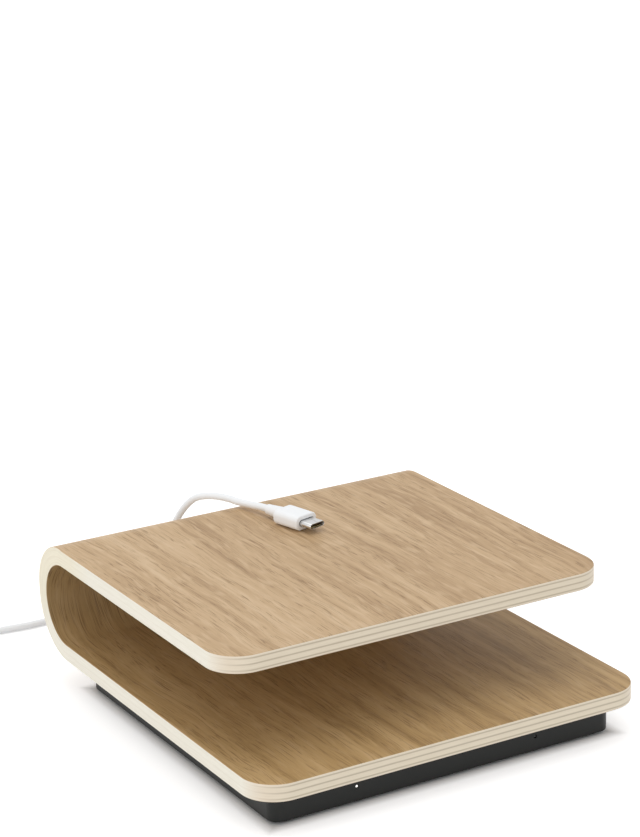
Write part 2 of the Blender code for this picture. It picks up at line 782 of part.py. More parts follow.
def plug_shell_mesh():
    """The plug's metal shell: a flat tube, open at its tip, that points along -Y."""
    bore_width = plug_shell_width - 2 * plug_shell_wall
    bore_height = plug_shell_height - 2 * plug_shell_wall
    tip = -plug_shell_reach
    bm = bmesh.new()
    lofted(bm, [
        oblong(plug_shell_width, plug_shell_height, plug_shell_height / 2,
               plug_shell_seat - touch_gap),
        oblong(plug_shell_width, plug_shell_height, plug_shell_height / 2, tip),
        oblong(bore_width, bore_height, bore_height / 2, tip),
        oblong(bore_width, bore_height, bore_height / 2, tip + plug_shell_bore),
    ])
    return bm


def plug_grip_mesh():
    """The moulded grip: a seat for the metal shell in its face, and a tapered relief."""
    seat_width = plug_shell_width + 2 * touch_gap
    seat_height = plug_shell_height + 2 * touch_gap
    face_width, face_height = grip_width - 2 * grip_edge_ease, grip_height - 2 * grip_edge_ease
    face_corner = grip_corner_radius - grip_edge_ease
    root, end = 2 * relief_root_radius, 2 * relief_end_radius
    rings = [
        oblong(seat_width, seat_height, seat_height / 2, plug_shell_seat),
        oblong(seat_width, seat_height, seat_height / 2, 0),
        oblong(face_width, face_height, face_corner, 0),
        oblong(grip_width, grip_height, grip_corner_radius, grip_edge_ease),
        oblong(grip_width, grip_height, grip_corner_radius, grip_length - 2 * grip_edge_ease),
        oblong(face_width, face_height, face_corner, grip_length),
        oblong(root, root, relief_root_radius, grip_length),
        oblong(end, end, relief_end_radius, plug_length),
    ]
    bm = bmesh.new()
    lofted(bm, rings)
    return bm


def make_plug(name, place, turn, materials):
    """One plug: its face at the place, its tip along -Y turned about the upright axis."""
    for part_name, bm, material in (("grip", plug_grip_mesh(), materials["cord"]),
                                    ("shell", plug_shell_mesh(), materials["steel"])):
        piece = add_piece(f"{name}_{part_name}", bm, material)
        piece.location = place
        piece.rotation_euler = (0, 0, turn)


def cord_end(place, turn, gap=touch_gap):
    """The point just behind a plug's relief where the cord's tube starts."""
    return Vector(place) + Matrix.Rotation(turn, 3, "Z") @ Vector((0, plug_length + gap, 0))


def make_lights(materials):
    for side_name, side in sides:
        x = side * coil_x
        flange = tray_wall + touch_gap
        length = flange + pipe_flange_thickness
        bm = bmesh.new()
        turned(bm, [(0, length), (pipe_flange_radius, length), (pipe_flange_radius, flange),
                    (pipe_radius, flange), (pipe_radius, pipe_recess), (0, pipe_recess)],
               (x, tray_front, light_height), (0, 1, 0), small_sides)
        add_piece(f"light_pipe_{side_name}", bm, materials["clear"])
        led_y = tray_front + length + touch_gap + led_size[1] / 2
        make_chip(f"status_led_{side_name}", led_size, (x, led_y), light_board_top + touch_gap,
                  materials["led"])


def make_ribbon(material):
    """A flat ribbon over the ballast plate, from the light board to the main board."""
    low, middle, high = light_board_top + touch_gap, ballast_top + touch_gap, part_z
    path = [(light_board_rear - ribbon_lap, low), (light_board_rear, low),
            (ballast_front, middle), (ballast_rear, middle),
            (board_front - touch_gap, high), (board_front + ribbon_lap, high)]
    outline = path + [(y, z + ribbon_thickness) for y, z in reversed(path)]
    bm = bmesh.new()
    section = bm.faces.new([bm.verts.new((ribbon_x - ribbon_width / 2, y, z))
                            for y, z in outline])
    pulled = bmesh.ops.extrude_face_region(bm, geom=[section])["geom"]
    ends = [item for item in pulled if isinstance(item, bmesh.types.BMVert)]
    bmesh.ops.translate(bm, vec=(ribbon_width, 0, 0), verts=ends)
    add_piece("light_ribbon", bm, material)


def wound_points():
    """The stored lead: a spiral in on the lower layer, a climb, and a spiral out above it."""
    half = (wound_turns - wound_climb_turns) / 2
    centre = Vector((wound_centre_x, wound_centre_y, 0))
    points = []
    for part in range(points_per_turn * wound_turns + 1):
        turn = part / points_per_turn
        inward = max(0, half - turn)
        outward = max(0, turn - half - wound_climb_turns)
        climb = min(1, max(0, (turn - half) / wound_climb_turns))
        radius = (wound_inner_radius + wound_pitch * (inward + outward)
                  - wound_dip * math.sin(math.pi * climb))
        height = wound_z + wound_layer_step * climb * climb * (3 - 2 * climb)
        angle = -math.pi / 2 - math.tau * turn
        points.append(centre + Vector((radius * math.cos(angle), radius * math.sin(angle), height)))
    return points


def make_tie(material, tool_material):
    """A flat strap round the wound lead's far side, with its lower run on the desk."""
    reach = tie_play + cord_radius
    inner = wound_inner_radius + wound_pitch / 4 - reach
    near = math.sqrt(inner * inner - tie_width * tie_width / 4) + wound_centre_y
    far = wound_centre_y + wound_outer_radius - wound_pitch / 2 + reach
    high = wound_z + wound_layer_step + cord_radius + touch_gap
    left, right = wound_centre_x - tie_width / 2, wound_centre_x + tie_width / 2
    bm = bmesh.new()
    block(bm, (left, near - tie_thickness, 0), (right, far + tie_thickness, high + tie_thickness))
    tie = add_piece("cord_tie", bm, material)
    bm = bmesh.new()
    block(bm, (left - cut_overrun, near, tie_thickness), (right + cut_overrun, far, high))
    combine(tie, add_tool("cord_tie_bore", bm, tool_material))


def make_power_lead(materials, tool_material):
    """From the back wall down to the desk and off to the left, its rest wound up."""
    plug = (power_socket_x, tray_rear + touch_gap, socket_z)
    make_plug("power_plug", plug, 0, materials)
    start = cord_end(plug, 0)
    wound = wound_points()
    supply = (supply_plug_x, shell_rear + supply_plug_behind, grip_height / 2)
    supply_turn = -math.pi / 2
    make_plug("supply_plug", supply, supply_turn, materials)
    end = cord_end(supply, supply_turn)

    behind = [(x, shell_rear + y, z) for x, y, z in power_cord_route]
    route = [start, start + Vector((0, 2 * cord_radius, 0)), *behind,
             wound[0] + Vector((4 * cord_radius, 0, 0)),
             wound[0] + Vector((2 * cord_radius + touch_gap, 0, 0))]
    add_tube("power_cord", smooth_route(route, cord_step), cord_radius, 2, materials["cord"])

    entry = wound[0] + Vector((2 * cord_radius, 0, 0))
    leave, run = wound[-1], Vector((2 * cord_radius, 0, 0))
    tail = smooth_route([leave, leave - run, leave - 3 * run,
                         leave.lerp(end, supply_bend_share) + run / 4, end + run, end],
                        cord_step / 2)
    points = [entry] + wound + tail[1:]
    add_tube("power_cord_coil", points, cord_radius, 1, materials["cord"])
    gap = least_gap(points, cord_radius, points_per_turn // 2)
    print(f"least gap in power_cord_coil: {gap * 1000:.2f} mm")
    make_tie(materials["strap"], tool_material)


def make_charge_lead(materials):
    """From the second socket up behind the bend and over it, onto the top shelf."""
    plug = (output_socket_x, tray_rear + touch_gap, socket_z)
    make_plug("charge_plug", plug, 0, materials)
    start = cord_end(plug, 0)
    device = (device_plug_x, shell_rear - device_plug_ahead, top_z + grip_height / 2 + touch_gap)
    make_plug("device_plug", device, device_plug_turn, materials)
    end = cord_end(device, device_plug_turn)
    inside = cord_end(device, device_plug_turn, touch_gap + 2 * cord_radius)

    over = [(x, shell_rear + y, share * top_z) for x, y, share in charge_cord_route_shares]
    route = [start, start + Vector((0, 2 * cord_radius, 0)), *over, inside, end]
    add_tube("charge_cord", smooth_route(route, cord_step), cord_radius, 2, materials["cord"])


def build():
    clear_scene()
    materials = {
        "oak_plywood": make_material("oak_plywood", (0.52, 0.36, 0.22), 0.5),
        "black_plastic": make_material("black_plastic", (0.022, 0.023, 0.022), 0.55),
        "rubber": make_material("rubber", (0.030, 0.030, 0.030), 0.85),
        "screw_steel": make_material("screw_steel", (0.48, 0.48, 0.47), 0.35, 1.0),
        "ballast_steel": make_material("ballast_steel", (0.42, 0.43, 0.44), 0.45, 1.0),
        "ferrite": make_material("ferrite", (0.055, 0.055, 0.060), 0.6),
        "copper": make_material("copper", (0.72, 0.33, 0.16), 0.3, 1.0),
        "circuit_board": make_material("circuit_board", (0.018, 0.110, 0.055), 0.4),
        "chip": make_material("chip", (0.025, 0.025, 0.027), 0.45),
        "inductor": make_material("inductor", (0.16, 0.16, 0.17), 0.6),
        "tin": make_material("tin", (0.60, 0.61, 0.62), 0.3, 1.0),
        "film": make_material("film", (0.42, 0.10, 0.05), 0.45),
        "white_plastic": make_material("white_plastic", (0.78, 0.77, 0.73), 0.4),
        "clear": make_material("clear", (0.85, 0.87, 0.88), 0.1),
        "led": make_material("led", (0.90, 0.88, 0.72), 0.3),
        "ribbon": make_material("ribbon", (0.62, 0.62, 0.60), 0.5),
        "cord": make_material("cord", (0.80, 0.80, 0.80), 0.4),
        "steel": make_material("steel", (0.62, 0.62, 0.62), 0.25, 1.0),
        "strap": make_material("strap", (0.70, 0.70, 0.70), 0.8),
    }
    tool_material = make_material("tool", (0.8, 0.2, 0.1), 0.5)

    make_shell(materials["oak_plywood"], tool_material)
    make_tray(materials["black_plastic"], tool_material)
    make_deck(materials["black_plastic"], tool_material)
    for side_name, side in sides:
        make_ferrite(side_name, side, materials["ferrite"], tool_material)
        make_coil(side_name, side, materials["copper"])
    make_ballast(materials["ballast_steel"], tool_material)
    make_board("main_board", (-board_width / 2, board_front, board_bottom),
               (board_width / 2, board_rear, board_top), board_screw_spots,
               materials["circuit_board"], tool_material)
    make_board_parts(materials)
    make_socket("power_socket", power_socket_x, materials["steel"])
    make_socket("output_socket", output_socket_x, materials["steel"])
    half = coil_x + light_board_margin
    make_board("light_board", (-half, light_board_front, light_board_bottom),
               (half, light_board_rear, light_board_top), light_screw_spots,
               materials["circuit_board"], tool_material)
    make_lights(materials)
    make_ribbon(materials["ribbon"])
    make_feet(materials["rubber"])
    make_wood_screws(materials["screw_steel"])
    make_small_screws([f"board_screw_{index}" for index in range(1, 5)], board_screw_spots,
                      board_top, materials["screw_steel"])
    make_small_screws([f"light_screw_{side_name}" for side_name, _ in sides], light_screw_spots,
                      light_board_top, materials["screw_steel"])
    make_power_lead(materials, tool_material)
    make_charge_lead(materials)


build()
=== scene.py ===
"""Bent plywood desk charger: a C of oak-faced birch on a black charging base, with two leads.

Metres, +Z up, +Y towards the bend at the back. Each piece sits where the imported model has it.
"""
import math

import bmesh
import bpy
from mathutils import Matrix, Vector


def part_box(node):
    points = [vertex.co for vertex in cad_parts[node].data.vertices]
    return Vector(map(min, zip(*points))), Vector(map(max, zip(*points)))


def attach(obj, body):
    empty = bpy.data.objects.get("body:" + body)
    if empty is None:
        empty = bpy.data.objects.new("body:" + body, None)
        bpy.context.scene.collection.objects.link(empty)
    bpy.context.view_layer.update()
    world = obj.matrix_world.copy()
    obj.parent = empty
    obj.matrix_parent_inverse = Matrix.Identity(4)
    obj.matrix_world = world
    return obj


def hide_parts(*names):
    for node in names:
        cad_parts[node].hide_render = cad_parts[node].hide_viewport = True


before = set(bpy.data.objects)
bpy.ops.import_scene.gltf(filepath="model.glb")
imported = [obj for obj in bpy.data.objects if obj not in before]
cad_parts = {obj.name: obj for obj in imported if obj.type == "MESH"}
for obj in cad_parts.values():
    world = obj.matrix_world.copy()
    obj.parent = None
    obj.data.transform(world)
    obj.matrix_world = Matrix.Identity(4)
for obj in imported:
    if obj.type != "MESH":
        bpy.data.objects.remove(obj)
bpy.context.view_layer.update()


# Camera
# A long lens from the front left, a little above the shelf, as in the photograph. The four
# vectors are its place and the ways that its right, its top and its sight point.
camera_place = Vector((-0.499084, -0.862810, 0.439140))
camera_right = Vector((0.86276587, -0.50497126, -0.02527981))
camera_up = Vector((0.17298924, 0.24783925, 0.95323157))
camera_ahead = Vector((0.47508922, 0.82678880, -0.30118185))

lens = bpy.data.cameras.new("photo_camera")
lens.sensor_fit = "AUTO"
lens.sensor_width = 36.0
lens.lens = 111.396
lens.clip_start = 0.05
lens.clip_end = 20.0
camera = bpy.data.objects.new("photo_camera", lens)
camera.matrix_world = Matrix.Translation(camera_place) @ Matrix(
    (camera_right, camera_up, -camera_ahead)).transposed().to_4x4()
bpy.context.scene.collection.objects.link(camera)
bpy.context.scene.camera = camera
bpy.context.scene.view_settings.view_transform = "Standard"


# White cord material
# The cords' jackets and the plugs' grips are smooth white plastic. The jackets are extruded
# and the grips moulded, both with a very fine matte grain.
class Signal:
    """A shader socket that sums can be written with: each step of one is a Math node."""

    def __init__(self, socket):
        self.socket = socket

    def step(self, operation, *others):
        """What a Math node makes of this signal and others."""
        return Signal(add_node(self.socket.id_data, "Math",
                               dict(enumerate((self, *others))), operation=operation).outputs[0])

    def __add__(self, other):
        return self.step("ADD", other)

    def __sub__(self, other):
        return self.step("SUBTRACT", other)

    def __mul__(self, other):
        return self.step("MULTIPLY", other)

    def __truediv__(self, other):
        return self.step("DIVIDE", other)


def fill(inputs, values):
    """Give a node's inputs their values: a signal or socket is linked, and a colour is opaque."""
    for key, value in dict(values).items():
        if isinstance(value, Signal):
            value = value.socket
        if isinstance(value, bpy.types.NodeSocket):
            value.id_data.links.new(value, inputs[key])
        else:
            inputs[key].default_value = (*value, 1.0) if inputs[key].type == "RGBA" else value


def add_node(tree, kind, values=(), **settings):
    """Add a shader node, set it up and fill its inputs."""
    made = tree.nodes.new("ShaderNode" + kind)
    for name, setting in settings.items():
        setattr(made, name, setting)
    fill(made.inputs, values)
    return made


def object_place(tree):
    return add_node(tree, "TexCoord").outputs["Object"]


def noise(tree, place, scale=1.0, detail=2.0, roughness=0.5):
    return Signal(add_node(tree, "TexNoise",
                           {"Vector": place, "Scale": scale, "Detail": detail,
                            "Roughness": roughness}).outputs["Fac"])


def toned(tree, colour, tone):
    """A colour made lighter or darker."""
    return add_node(tree, "VectorMath", {0: colour, "Scale": tone},
                    operation="SCALE").outputs[0]


VECTOR, COLOUR, NUMBER = "NodeSocketVector", "NodeSocketColor", "NodeSocketFloat"


def new_group(name, inputs):
    """A node group that gives a surface its colour, roughness and height, and its two ends."""
    group = bpy.data.node_groups.new(name, "ShaderNodeTree")
    for socket_name, kind, value in [("Place", VECTOR, (0.0, 0.0, 0.0)),
                                     ("Colour", COLOUR, (0.5, 0.5, 0.5, 1.0)),
                                     ("Roughness", NUMBER, 0.5), *inputs]:
        socket = group.interface.new_socket(socket_name, in_out="INPUT", socket_type=kind)
        socket.default_value = value
    for socket_name, kind in (("Colour", COLOUR), ("Roughness", NUMBER), ("Height", NUMBER)):
        group.interface.new_socket(socket_name, in_out="OUTPUT", socket_type=kind)
    return (group, group.nodes.new("NodeGroupInput").outputs,
            group.nodes.new("NodeGroupOutput").inputs)


def new_material(name):
    """A material with its Principled shader, ready for nodes."""
    material = bpy.data.materials.new(name)
    material.use_nodes = True
    return material, material.node_tree, material.node_tree.nodes["Principled BSDF"]


def bumped(tree, shader, height, distance, strength=1.0):
    fill(shader.inputs, {"Normal": add_node(tree, "Bump", {
        "Height": height, "Distance": distance, "Strength": strength}).outputs["Normal"]})


def grouped_material(name, group, given, depth, strength=1.0, metallic=0.0, specular=0.5):
    """A material whose colour, roughness and fine relief come from a node group."""
    material, tree, shader = new_material(name)
    made = add_node(tree, "Group", {"Place": object_place(tree), **given},
                    node_tree=group).outputs
    fill(shader.inputs, {"Base Color": made["Colour"], "Roughness": made["Roughness"],
                         "Metallic": metallic, "Specular IOR Level": specular})
    bumped(tree, shader, made["Height"], depth, strength)
    return material


def build_moulded_group():
    """Moulded plastic: a slow drift of tone, a fine grain, and a roughness that follows it."""
    group, given, out = new_group(
        "moulded_grain", [("Drift", NUMBER, 0.03), ("Grain Size", NUMBER, 0.0002),
                          ("Roughness Drift", NUMBER, 0.05)])
    frequency = add_node(group, "Math", {0: 1.0, 1: given["Grain Size"]},
                         operation="DIVIDE").outputs[0]
    slow = noise(group, given["Place"], scale=45.0, detail=3.0) - 0.5
    fine = noise(group, given["Place"], scale=frequency, detail=1.0)
    tone = slow * given["Drift"] + 1.0 + (fine - 0.5) * given["Drift"] * 0.6
    fill(out, {"Colour": toned(group, given["Colour"], tone), "Height": fine,
               "Roughness": slow * given["Roughness Drift"] + given["Roughness"]})
    return group


moulded_grain = build_moulded_group()


def moulded_material(name, colour, roughness, grain_size=0.0002, drift=0.06, depth=0.00001,
                     specular=0.5):
    """A moulded plastic or rubber of one colour."""
    return grouped_material(name, moulded_grain, {
        "Colour": colour, "Drift": drift, "Grain Size": grain_size, "Roughness": roughness,
        "Roughness Drift": 0.12}, depth, specular=specular)


white_jacket = moulded_material("white_jacket", (0.895, 0.912, 0.928), 0.42)
white_grip = moulded_material("white_grip", (0.897, 0.912, 0.928), 0.38)


# Power lead
# A thin white cord from the back wall down to the desk and off to the left. What the photograph
# doesn't show of its 1.2 m is wound up and tied beside the charger's back corner.
cord_radius = 0.0016
relief_gap = 0.0003
grip_length, relief_length = 0.0150, 0.0090
curve_parts = 16


def smooth_route(points, step):
    """Points at an even step along a smooth curve through the route's own points."""
    route = [Vector(point) for point in points]
    padded = [2 * route[0] - route[1]] + route + [2 * route[-1] - route[-2]]
    fine = []
    for p0, p1, p2, p3 in zip(padded, padded[1:], padded[2:], padded[3:]):
        for part in range(curve_parts):
            t = part / curve_parts
            fine.append((2 * p1 + (p2 - p0) * t + (2 * p0 - 5 * p1 + 4 * p2 - p3) * t * t
                         + (3 * p1 - p0 - 3 * p2 + p3) * t * t * t) / 2)
    fine.append(route[-1])
    lengths = [0.0]
    for first, second in zip(fine, fine[1:]):
        lengths.append(lengths[-1] + (second - first).length)
    count = max(2, round(lengths[-1] / step))
    even, index = [], 0
    for part in range(count + 1):
        goal = lengths[-1] * part / count
        while index < len(lengths) - 2 and lengths[index + 1] < goal:
            index += 1
        span = lengths[index + 1] - lengths[index]
        even.append(fine[index].lerp(fine[index + 1], (goal - lengths[index]) / span))
    return even


def route_length(points):
    return sum((second - first).length for first, second in zip(points, points[1:]))


def lay_cord(name, points, radius, material):
    """A round jacket along the points, as one open curve."""
    curve = bpy.data.curves.new(name, "CURVE")
    curve.dimensions = "3D"
    curve.bevel_depth = radius
    curve.bevel_resolution = 5
    curve.use_fill_caps = True
    spline = curve.splines.new("POLY")
    spline.points.add(len(points) - 1)
    for knot, point in zip(spline.points, points):
        knot.co = (*point, 1.0)
    curve.materials.append(material)
    cord = bpy.data.objects.new(name, curve)
    bpy.context.scene.collection.objects.link(cord)
    return cord


def front_middle(name):
    """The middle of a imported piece's front face."""
    low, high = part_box(name)
    return Vector(((low.x + high.x) / 2, low.y, (low.z + high.z) / 2))


def behind_grip(place, turn, gap=relief_gap):
    """Where a cord starts, just behind the plug's relief."""
    return place + Matrix.Rotation(turn, 3, "Z") @ Vector((0, grip_length + relief_length + gap, 0))


power_plug_place = front_middle("power_plug_grip")
supply_plug_place, supply_plug_turn = Vector((-0.1680, 0.1478, 0.0032)), -math.pi / 2
wound_centre = Vector((-0.118, 0.1734, 0.0025))
wound_turns, wound_climb_turns, wound_turn_parts = 8, 0.5, 60
wound_outer_radius, wound_pitch = 0.0256, 0.00375
wound_layer_step, wound_dip = 0.00365, 0.0005
wound_half = (wound_turns - wound_climb_turns) / 2
wound_inner_radius = wound_outer_radius - wound_pitch * wound_half


def wound_turn_points():
    """A spiral in on the lower layer, a climb, and a spiral out above it."""
    points = []
    for part in range(wound_turn_parts * wound_turns + 1):
        turn = part / wound_turn_parts
        inward = max(0.0, wound_half - turn)
        outward = max(0.0, turn - wound_half - wound_climb_turns)
        climb = min(1.0, max(0.0, (turn - wound_half) / wound_climb_turns))
        radius = (wound_inner_radius + wound_pitch * (inward + outward)
                  - wound_dip * math.sin(math.pi * climb))
        height = wound_layer_step * climb * climb * (3 - 2 * climb)
        angle = -math.pi / 2 - math.tau * turn
        points.append(wound_centre + Vector((radius * math.cos(angle), radius * math.sin(angle),
                                             height)))
    return points


wound = wound_turn_points()
run = Vector((2 * cord_radius, 0, 0))
power_start = behind_grip(power_plug_place, 0)
power_route = [
    power_start, power_start + Vector((0, 2 * cord_radius, 0)),
    (0.0180, 0.1110, 0.0072), (0.0178, 0.1205, 0.0034), (0.0160, 0.1300, 0.0018),
    (0.0100, 0.1392, 0.0016), (0.0000, 0.1452, 0.0016), (-0.0150, 0.1482, 0.0016),
    (-0.0350, 0.1484, 0.0016), (-0.0530, 0.1474, 0.0016), (-0.0655, 0.1466, 0.0016),
    (-0.0745, 0.1466, 0.0016), (-0.0840, 0.1478, 0.0016), (-0.0930, 0.1486, 0.0017),
    (-0.1020, 0.1483, 0.0021), wound[0] + 2 * run, wound[0] + run, wound[0]]
supply_end = behind_grip(supply_plug_place, supply_plug_turn)
supply_route = [wound[-1], wound[-1] - run, wound[-1] - 3 * run,
                wound[-1].lerp(supply_end, 0.7) + run / 4, supply_end + run, supply_end]
power_points = (smooth_route(power_route, cord_radius)[:-1] + wound
                + smooth_route(supply_route, cord_radius)[1:])
power_cord = lay_cord("power_lead_cord", power_points, cord_radius, white_jacket)
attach(power_cord, "power_lead")
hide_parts("power_cord", "power_cord_coil")


# Charge lead
# The short lead is the same white cord. It leaves the second port, climbs behind the bend and
# bows over it, and its free plug lies on the top shelf.
device_plug_place = Vector((0.0098, 0.0365, 0.0672))
device_plug_turn = math.radians(14)
charge_plug_place = front_middle("charge_plug_grip")
charge_start = behind_grip(charge_plug_place, 0)
charge_route = [
    charge_start, charge_start + Vector((0, 2 * cord_radius, 0)),
    (-0.0160, 0.1110, 0.0096), (-0.0160, 0.1198, 0.0122), (-0.0160, 0.1250, 0.0180),
    (-0.0157, 0.1256, 0.0262), (-0.0151, 0.1226, 0.0346), (-0.0143, 0.1174, 0.0430),
    (-0.0135, 0.1124, 0.0506), (-0.0123, 0.1085, 0.0560), (-0.0107, 0.1046, 0.0604),
    (-0.0090, 0.1004, 0.0634), (-0.0068, 0.0949, 0.0652), (-0.0045, 0.0889, 0.0661),
    (-0.0020, 0.0829, 0.0662), (-0.0004, 0.0774, 0.0661),
    behind_grip(device_plug_place, device_plug_turn, relief_gap + 2 * cord_radius),
    behind_grip(device_plug_place, device_plug_turn)]
charge_point_step = 0.0014
charge_points = smooth_route(charge_route, charge_point_step)
charge_cord = lay_cord("charge_lead_cord", charge_points, cord_radius, white_jacket)
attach(charge_cord, "charge_lead")
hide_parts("charge_cord")


# Plugs
# Each plug is a drawn steel shell with gilt contacts, held in a soft white moulded grip whose
# tapered relief keeps the cord from kinking.
grip_width, grip_height, grip_corner, grip_ease = 0.0118, 0.0064, 0.0025, 0.0006
relief_profile = ((0.0, 0.00290), (0.04, 0.00285), (0.35, 0.00262), (0.70, 0.00236),
                  (0.94, 0.00220), (0.985, 0.00212), (1.0, 0.00195))
plug_width, plug_height, plug_wall, plug_reach, plug_bore = 0.00825, 0.0024, 0.0003, 0.0066, 0.0058
plug_seat, plug_seat_play = 0.0012, 0.0003
contact_pitch, contacts_in_row = 0.0005, 12
plug_contact_size, plug_contact_depth = (0.00026, 0.0042, 0.00016), 0.0032
plug_contact_gap = 0.0001


def between(tree, value, low, high, to_low=0.0, to_high=1.0):
    """A value mapped from one span to another, and held at its ends."""
    return Signal(add_node(tree, "MapRange",
                           {"Value": value, "From Min": low, "From Max": high,
                            "To Min": to_low, "To Max": to_high}).outputs["Result"])


def build_drawn_group():
    """Drawn or rolled metal: fine lines along one axis that vary tone and roughness."""
    group, given, out = new_group("drawn_lines", [("Line Scale", VECTOR, (900.0, 30.0, 900.0)),
                                                  ("Drift", NUMBER, 0.1)])
    stretched = add_node(group, "VectorMath", {
        0: given["Place"], 1: given["Line Scale"]}, operation="MULTIPLY").outputs[0]
    lines = noise(group, stretched, detail=3.0, roughness=0.6)
    spread = between(group, lines, 0.3, 0.7, -1.0, 1.0)
    fill(out, {"Colour": toned(group, given["Colour"], spread * given["Drift"] + 1.0),
               "Roughness": spread * 0.08 + given["Roughness"], "Height": lines})
    return group


drawn_lines = build_drawn_group()


def metal_material(name, colour, roughness, line_scale=(900.0, 30.0, 900.0), drift=0.10):
    """A bare metal with the lines that drawing, rolling or turning left."""
    return grouped_material(name, drawn_lines, {
        "Line Scale": line_scale, "Colour": colour, "Drift": drift, "Roughness": roughness},
        depth=0.00001, strength=0.4, metallic=1.0)


drawn_steel = metal_material("drawn_steel", (0.62, 0.62, 0.62), 0.30)
gilt = metal_material("gilt_contact", (0.83, 0.62, 0.28), 0.28)


def finish_piece(name, bm, material=None, smooth_angle=35):
    """A bmesh made a shaded object at the origin, with its doubles merged and normals out."""
    bmesh.ops.remove_doubles(bm, verts=bm.verts, dist=0.000005)
    bmesh.ops.recalc_face_normals(bm, faces=bm.faces)
    mesh = bpy.data.meshes.new(name)
    bm.to_mesh(mesh)
    bm.free()
    mesh.shade_smooth()
    mesh.set_sharp_from_angle(angle=math.radians(smooth_angle))
    if material:
        mesh.materials.append(material)
    piece = bpy.data.objects.new(name, mesh)
    bpy.context.scene.collection.objects.link(piece)
    return piece


def oblong_ring(bm, width, height, corner, y, steps=8):
    """A rounded rectangle of new vertices across the Y axis."""
    corner = min(corner, width / 2, height / 2)
    ring = []
    for quarter, (side, up) in enumerate(((1, 1), (-1, 1), (-1, -1), (1, -1))):
        for step in range(steps + 1):
            angle = math.pi / 2 * (quarter + step / steps)
            ring.append(bm.verts.new((side * (width / 2 - corner) + corner * math.cos(angle), y,
                                      up * (height / 2 - corner) + corner * math.sin(angle))))
    return [bm.edges.new((ring[index - 1], ring[index])) for index in range(len(ring))]


def lofted(sections):
    """A bmesh that bridges a row of rounded rectangles, closed at both ends."""
    bm = bmesh.new()
    rings = [oblong_ring(bm, *section) for section in sections]
    for first, second in zip(rings, rings[1:]):
        bmesh.ops.bridge_loops(bm, edges=first + second)
    for ring in (rings[0], rings[-1]):
        bmesh.ops.edgeloop_fill(bm, edges=ring)
    return bm


def contact_rows(size, y, height):
    """Two rows of contacts across a plug or port, above and below its middle."""
    bm = bmesh.new()
    for up in (-1, 1):
        for index in range(contacts_in_row):
            made = bmesh.ops.create_cube(bm, size=1.0)["verts"]
            bmesh.ops.scale(bm, vec=size, verts=made)
            bmesh.ops.translate(bm, verts=made, vec=(
                (index - (contacts_in_row - 1) / 2) * contact_pitch, y, up * height))
    return bm


def plug_grip_bmesh():
    """Front to back: the seat for the steel shell, the eased body, a step, and the relief."""
    seat_width, seat_height = plug_width + 2 * plug_seat_play, plug_height + 2 * plug_seat_play
    sections = [(seat_width, seat_height, seat_height / 2, plug_seat),
                (seat_width, seat_height, seat_height / 2, 0.0)]
    for step in range(5):
        angle = math.pi / 2 * step / 4
        inset = grip_ease * (1 - math.sin(angle))
        sections.append((grip_width - 2 * inset, grip_height - 2 * inset, grip_corner - inset,
                         grip_ease * (1 - math.cos(angle))))
    for step in range(7):
        angle = math.pi / 2 * step / 6
        inset = 2 * grip_ease * (1 - math.cos(angle))
        sections.append((grip_width - 2 * inset, grip_height - 1.3 * inset, grip_corner - inset / 2,
                         grip_length - 2 * grip_ease * (1 - math.sin(angle))))
    for share, radius in relief_profile:
        sections.append((2 * radius, 2 * radius, radius, grip_length + share * relief_length))
    return lofted(sections)


def plug_shell_bmesh():
    """A flat tube open at its tip, with a rolled rim."""
    bore_width, bore_height = plug_width - 2 * plug_wall, plug_height - 2 * plug_wall
    roll = plug_wall / 3
    return lofted([
        (plug_width, plug_height, plug_height / 2, plug_seat - plug_seat_play),
        (plug_width, plug_height, plug_height / 2, roll - plug_reach),
        (plug_width - roll, plug_height - roll, plug_height / 2, -plug_reach),
        (bore_width + roll, bore_height + roll, bore_height / 2, -plug_reach),
        (bore_width, bore_height, bore_height / 2, roll - plug_reach),
        (bore_width, bore_height, bore_height / 2, plug_bore - plug_reach)])


def make_plug(name, place, turn, body, contacts=False):
    """One plug in its place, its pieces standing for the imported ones."""
    parts = [("grip_detailed", plug_grip_bmesh(), white_grip, "cord"),
             ("shell_detailed", plug_shell_bmesh(), drawn_steel, "steel")]
    if contacts:
        rows = contact_rows(plug_contact_size, plug_contact_depth - plug_reach,
                            plug_height / 2 - plug_wall - plug_contact_gap)
        parts.append(("contacts", rows, gilt, "steel"))
    placed = Matrix.Translation(place) @ Matrix.Rotation(turn, 4, "Z")
    pieces = []
    for part, bm, material, slot in parts:
        bmesh.ops.transform(bm, matrix=placed, verts=bm.verts)
        piece = finish_piece(f"{name}_{part}", bm, material, smooth_angle=50)
        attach(piece, body)
        if part != "contacts":
            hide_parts(f"{name}_{part.removesuffix('_detailed')}")
        pieces.append(piece)
    return pieces


power_plug = make_plug("power_plug", power_plug_place, 0, "power_lead")
supply_plug = make_plug("supply_plug", supply_plug_place, supply_plug_turn, "power_lead", True)
charge_plug = make_plug("charge_plug", charge_plug_place, 0, "charge_lead")
device_plug = make_plug("device_plug", device_plug_place, device_plug_turn, "charge_lead", True)


# Cord tie
# A woven hook-and-loop strap of pale nylon goes once round the wound lead. It is closed on
# itself, with its free end lying over its start.
tie_low, tie_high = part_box("cord_tie")
tray_low, tray_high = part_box("base_tray")
tie_thickness, tie_corner, tie_thread = 0.0006, 0.0018, 0.00035
tie_lap_share, tie_end_share, tie_ease_share = 1.15, 0.6, 0.2
sharp_angle = 1.0


def split(tree, place):
    """A place's three parts, as signals."""
    return [Signal(part) for part in
            add_node(tree, "SeparateXYZ", {0: place}).outputs]


def mixed(tree, share, first, second, blend="MIX"):
    """Two colours mixed by a share."""
    return add_node(tree, "Mix", {0: share, 6: first, 7: second},
                    data_type="RGBA", blend_type=blend).outputs[2]


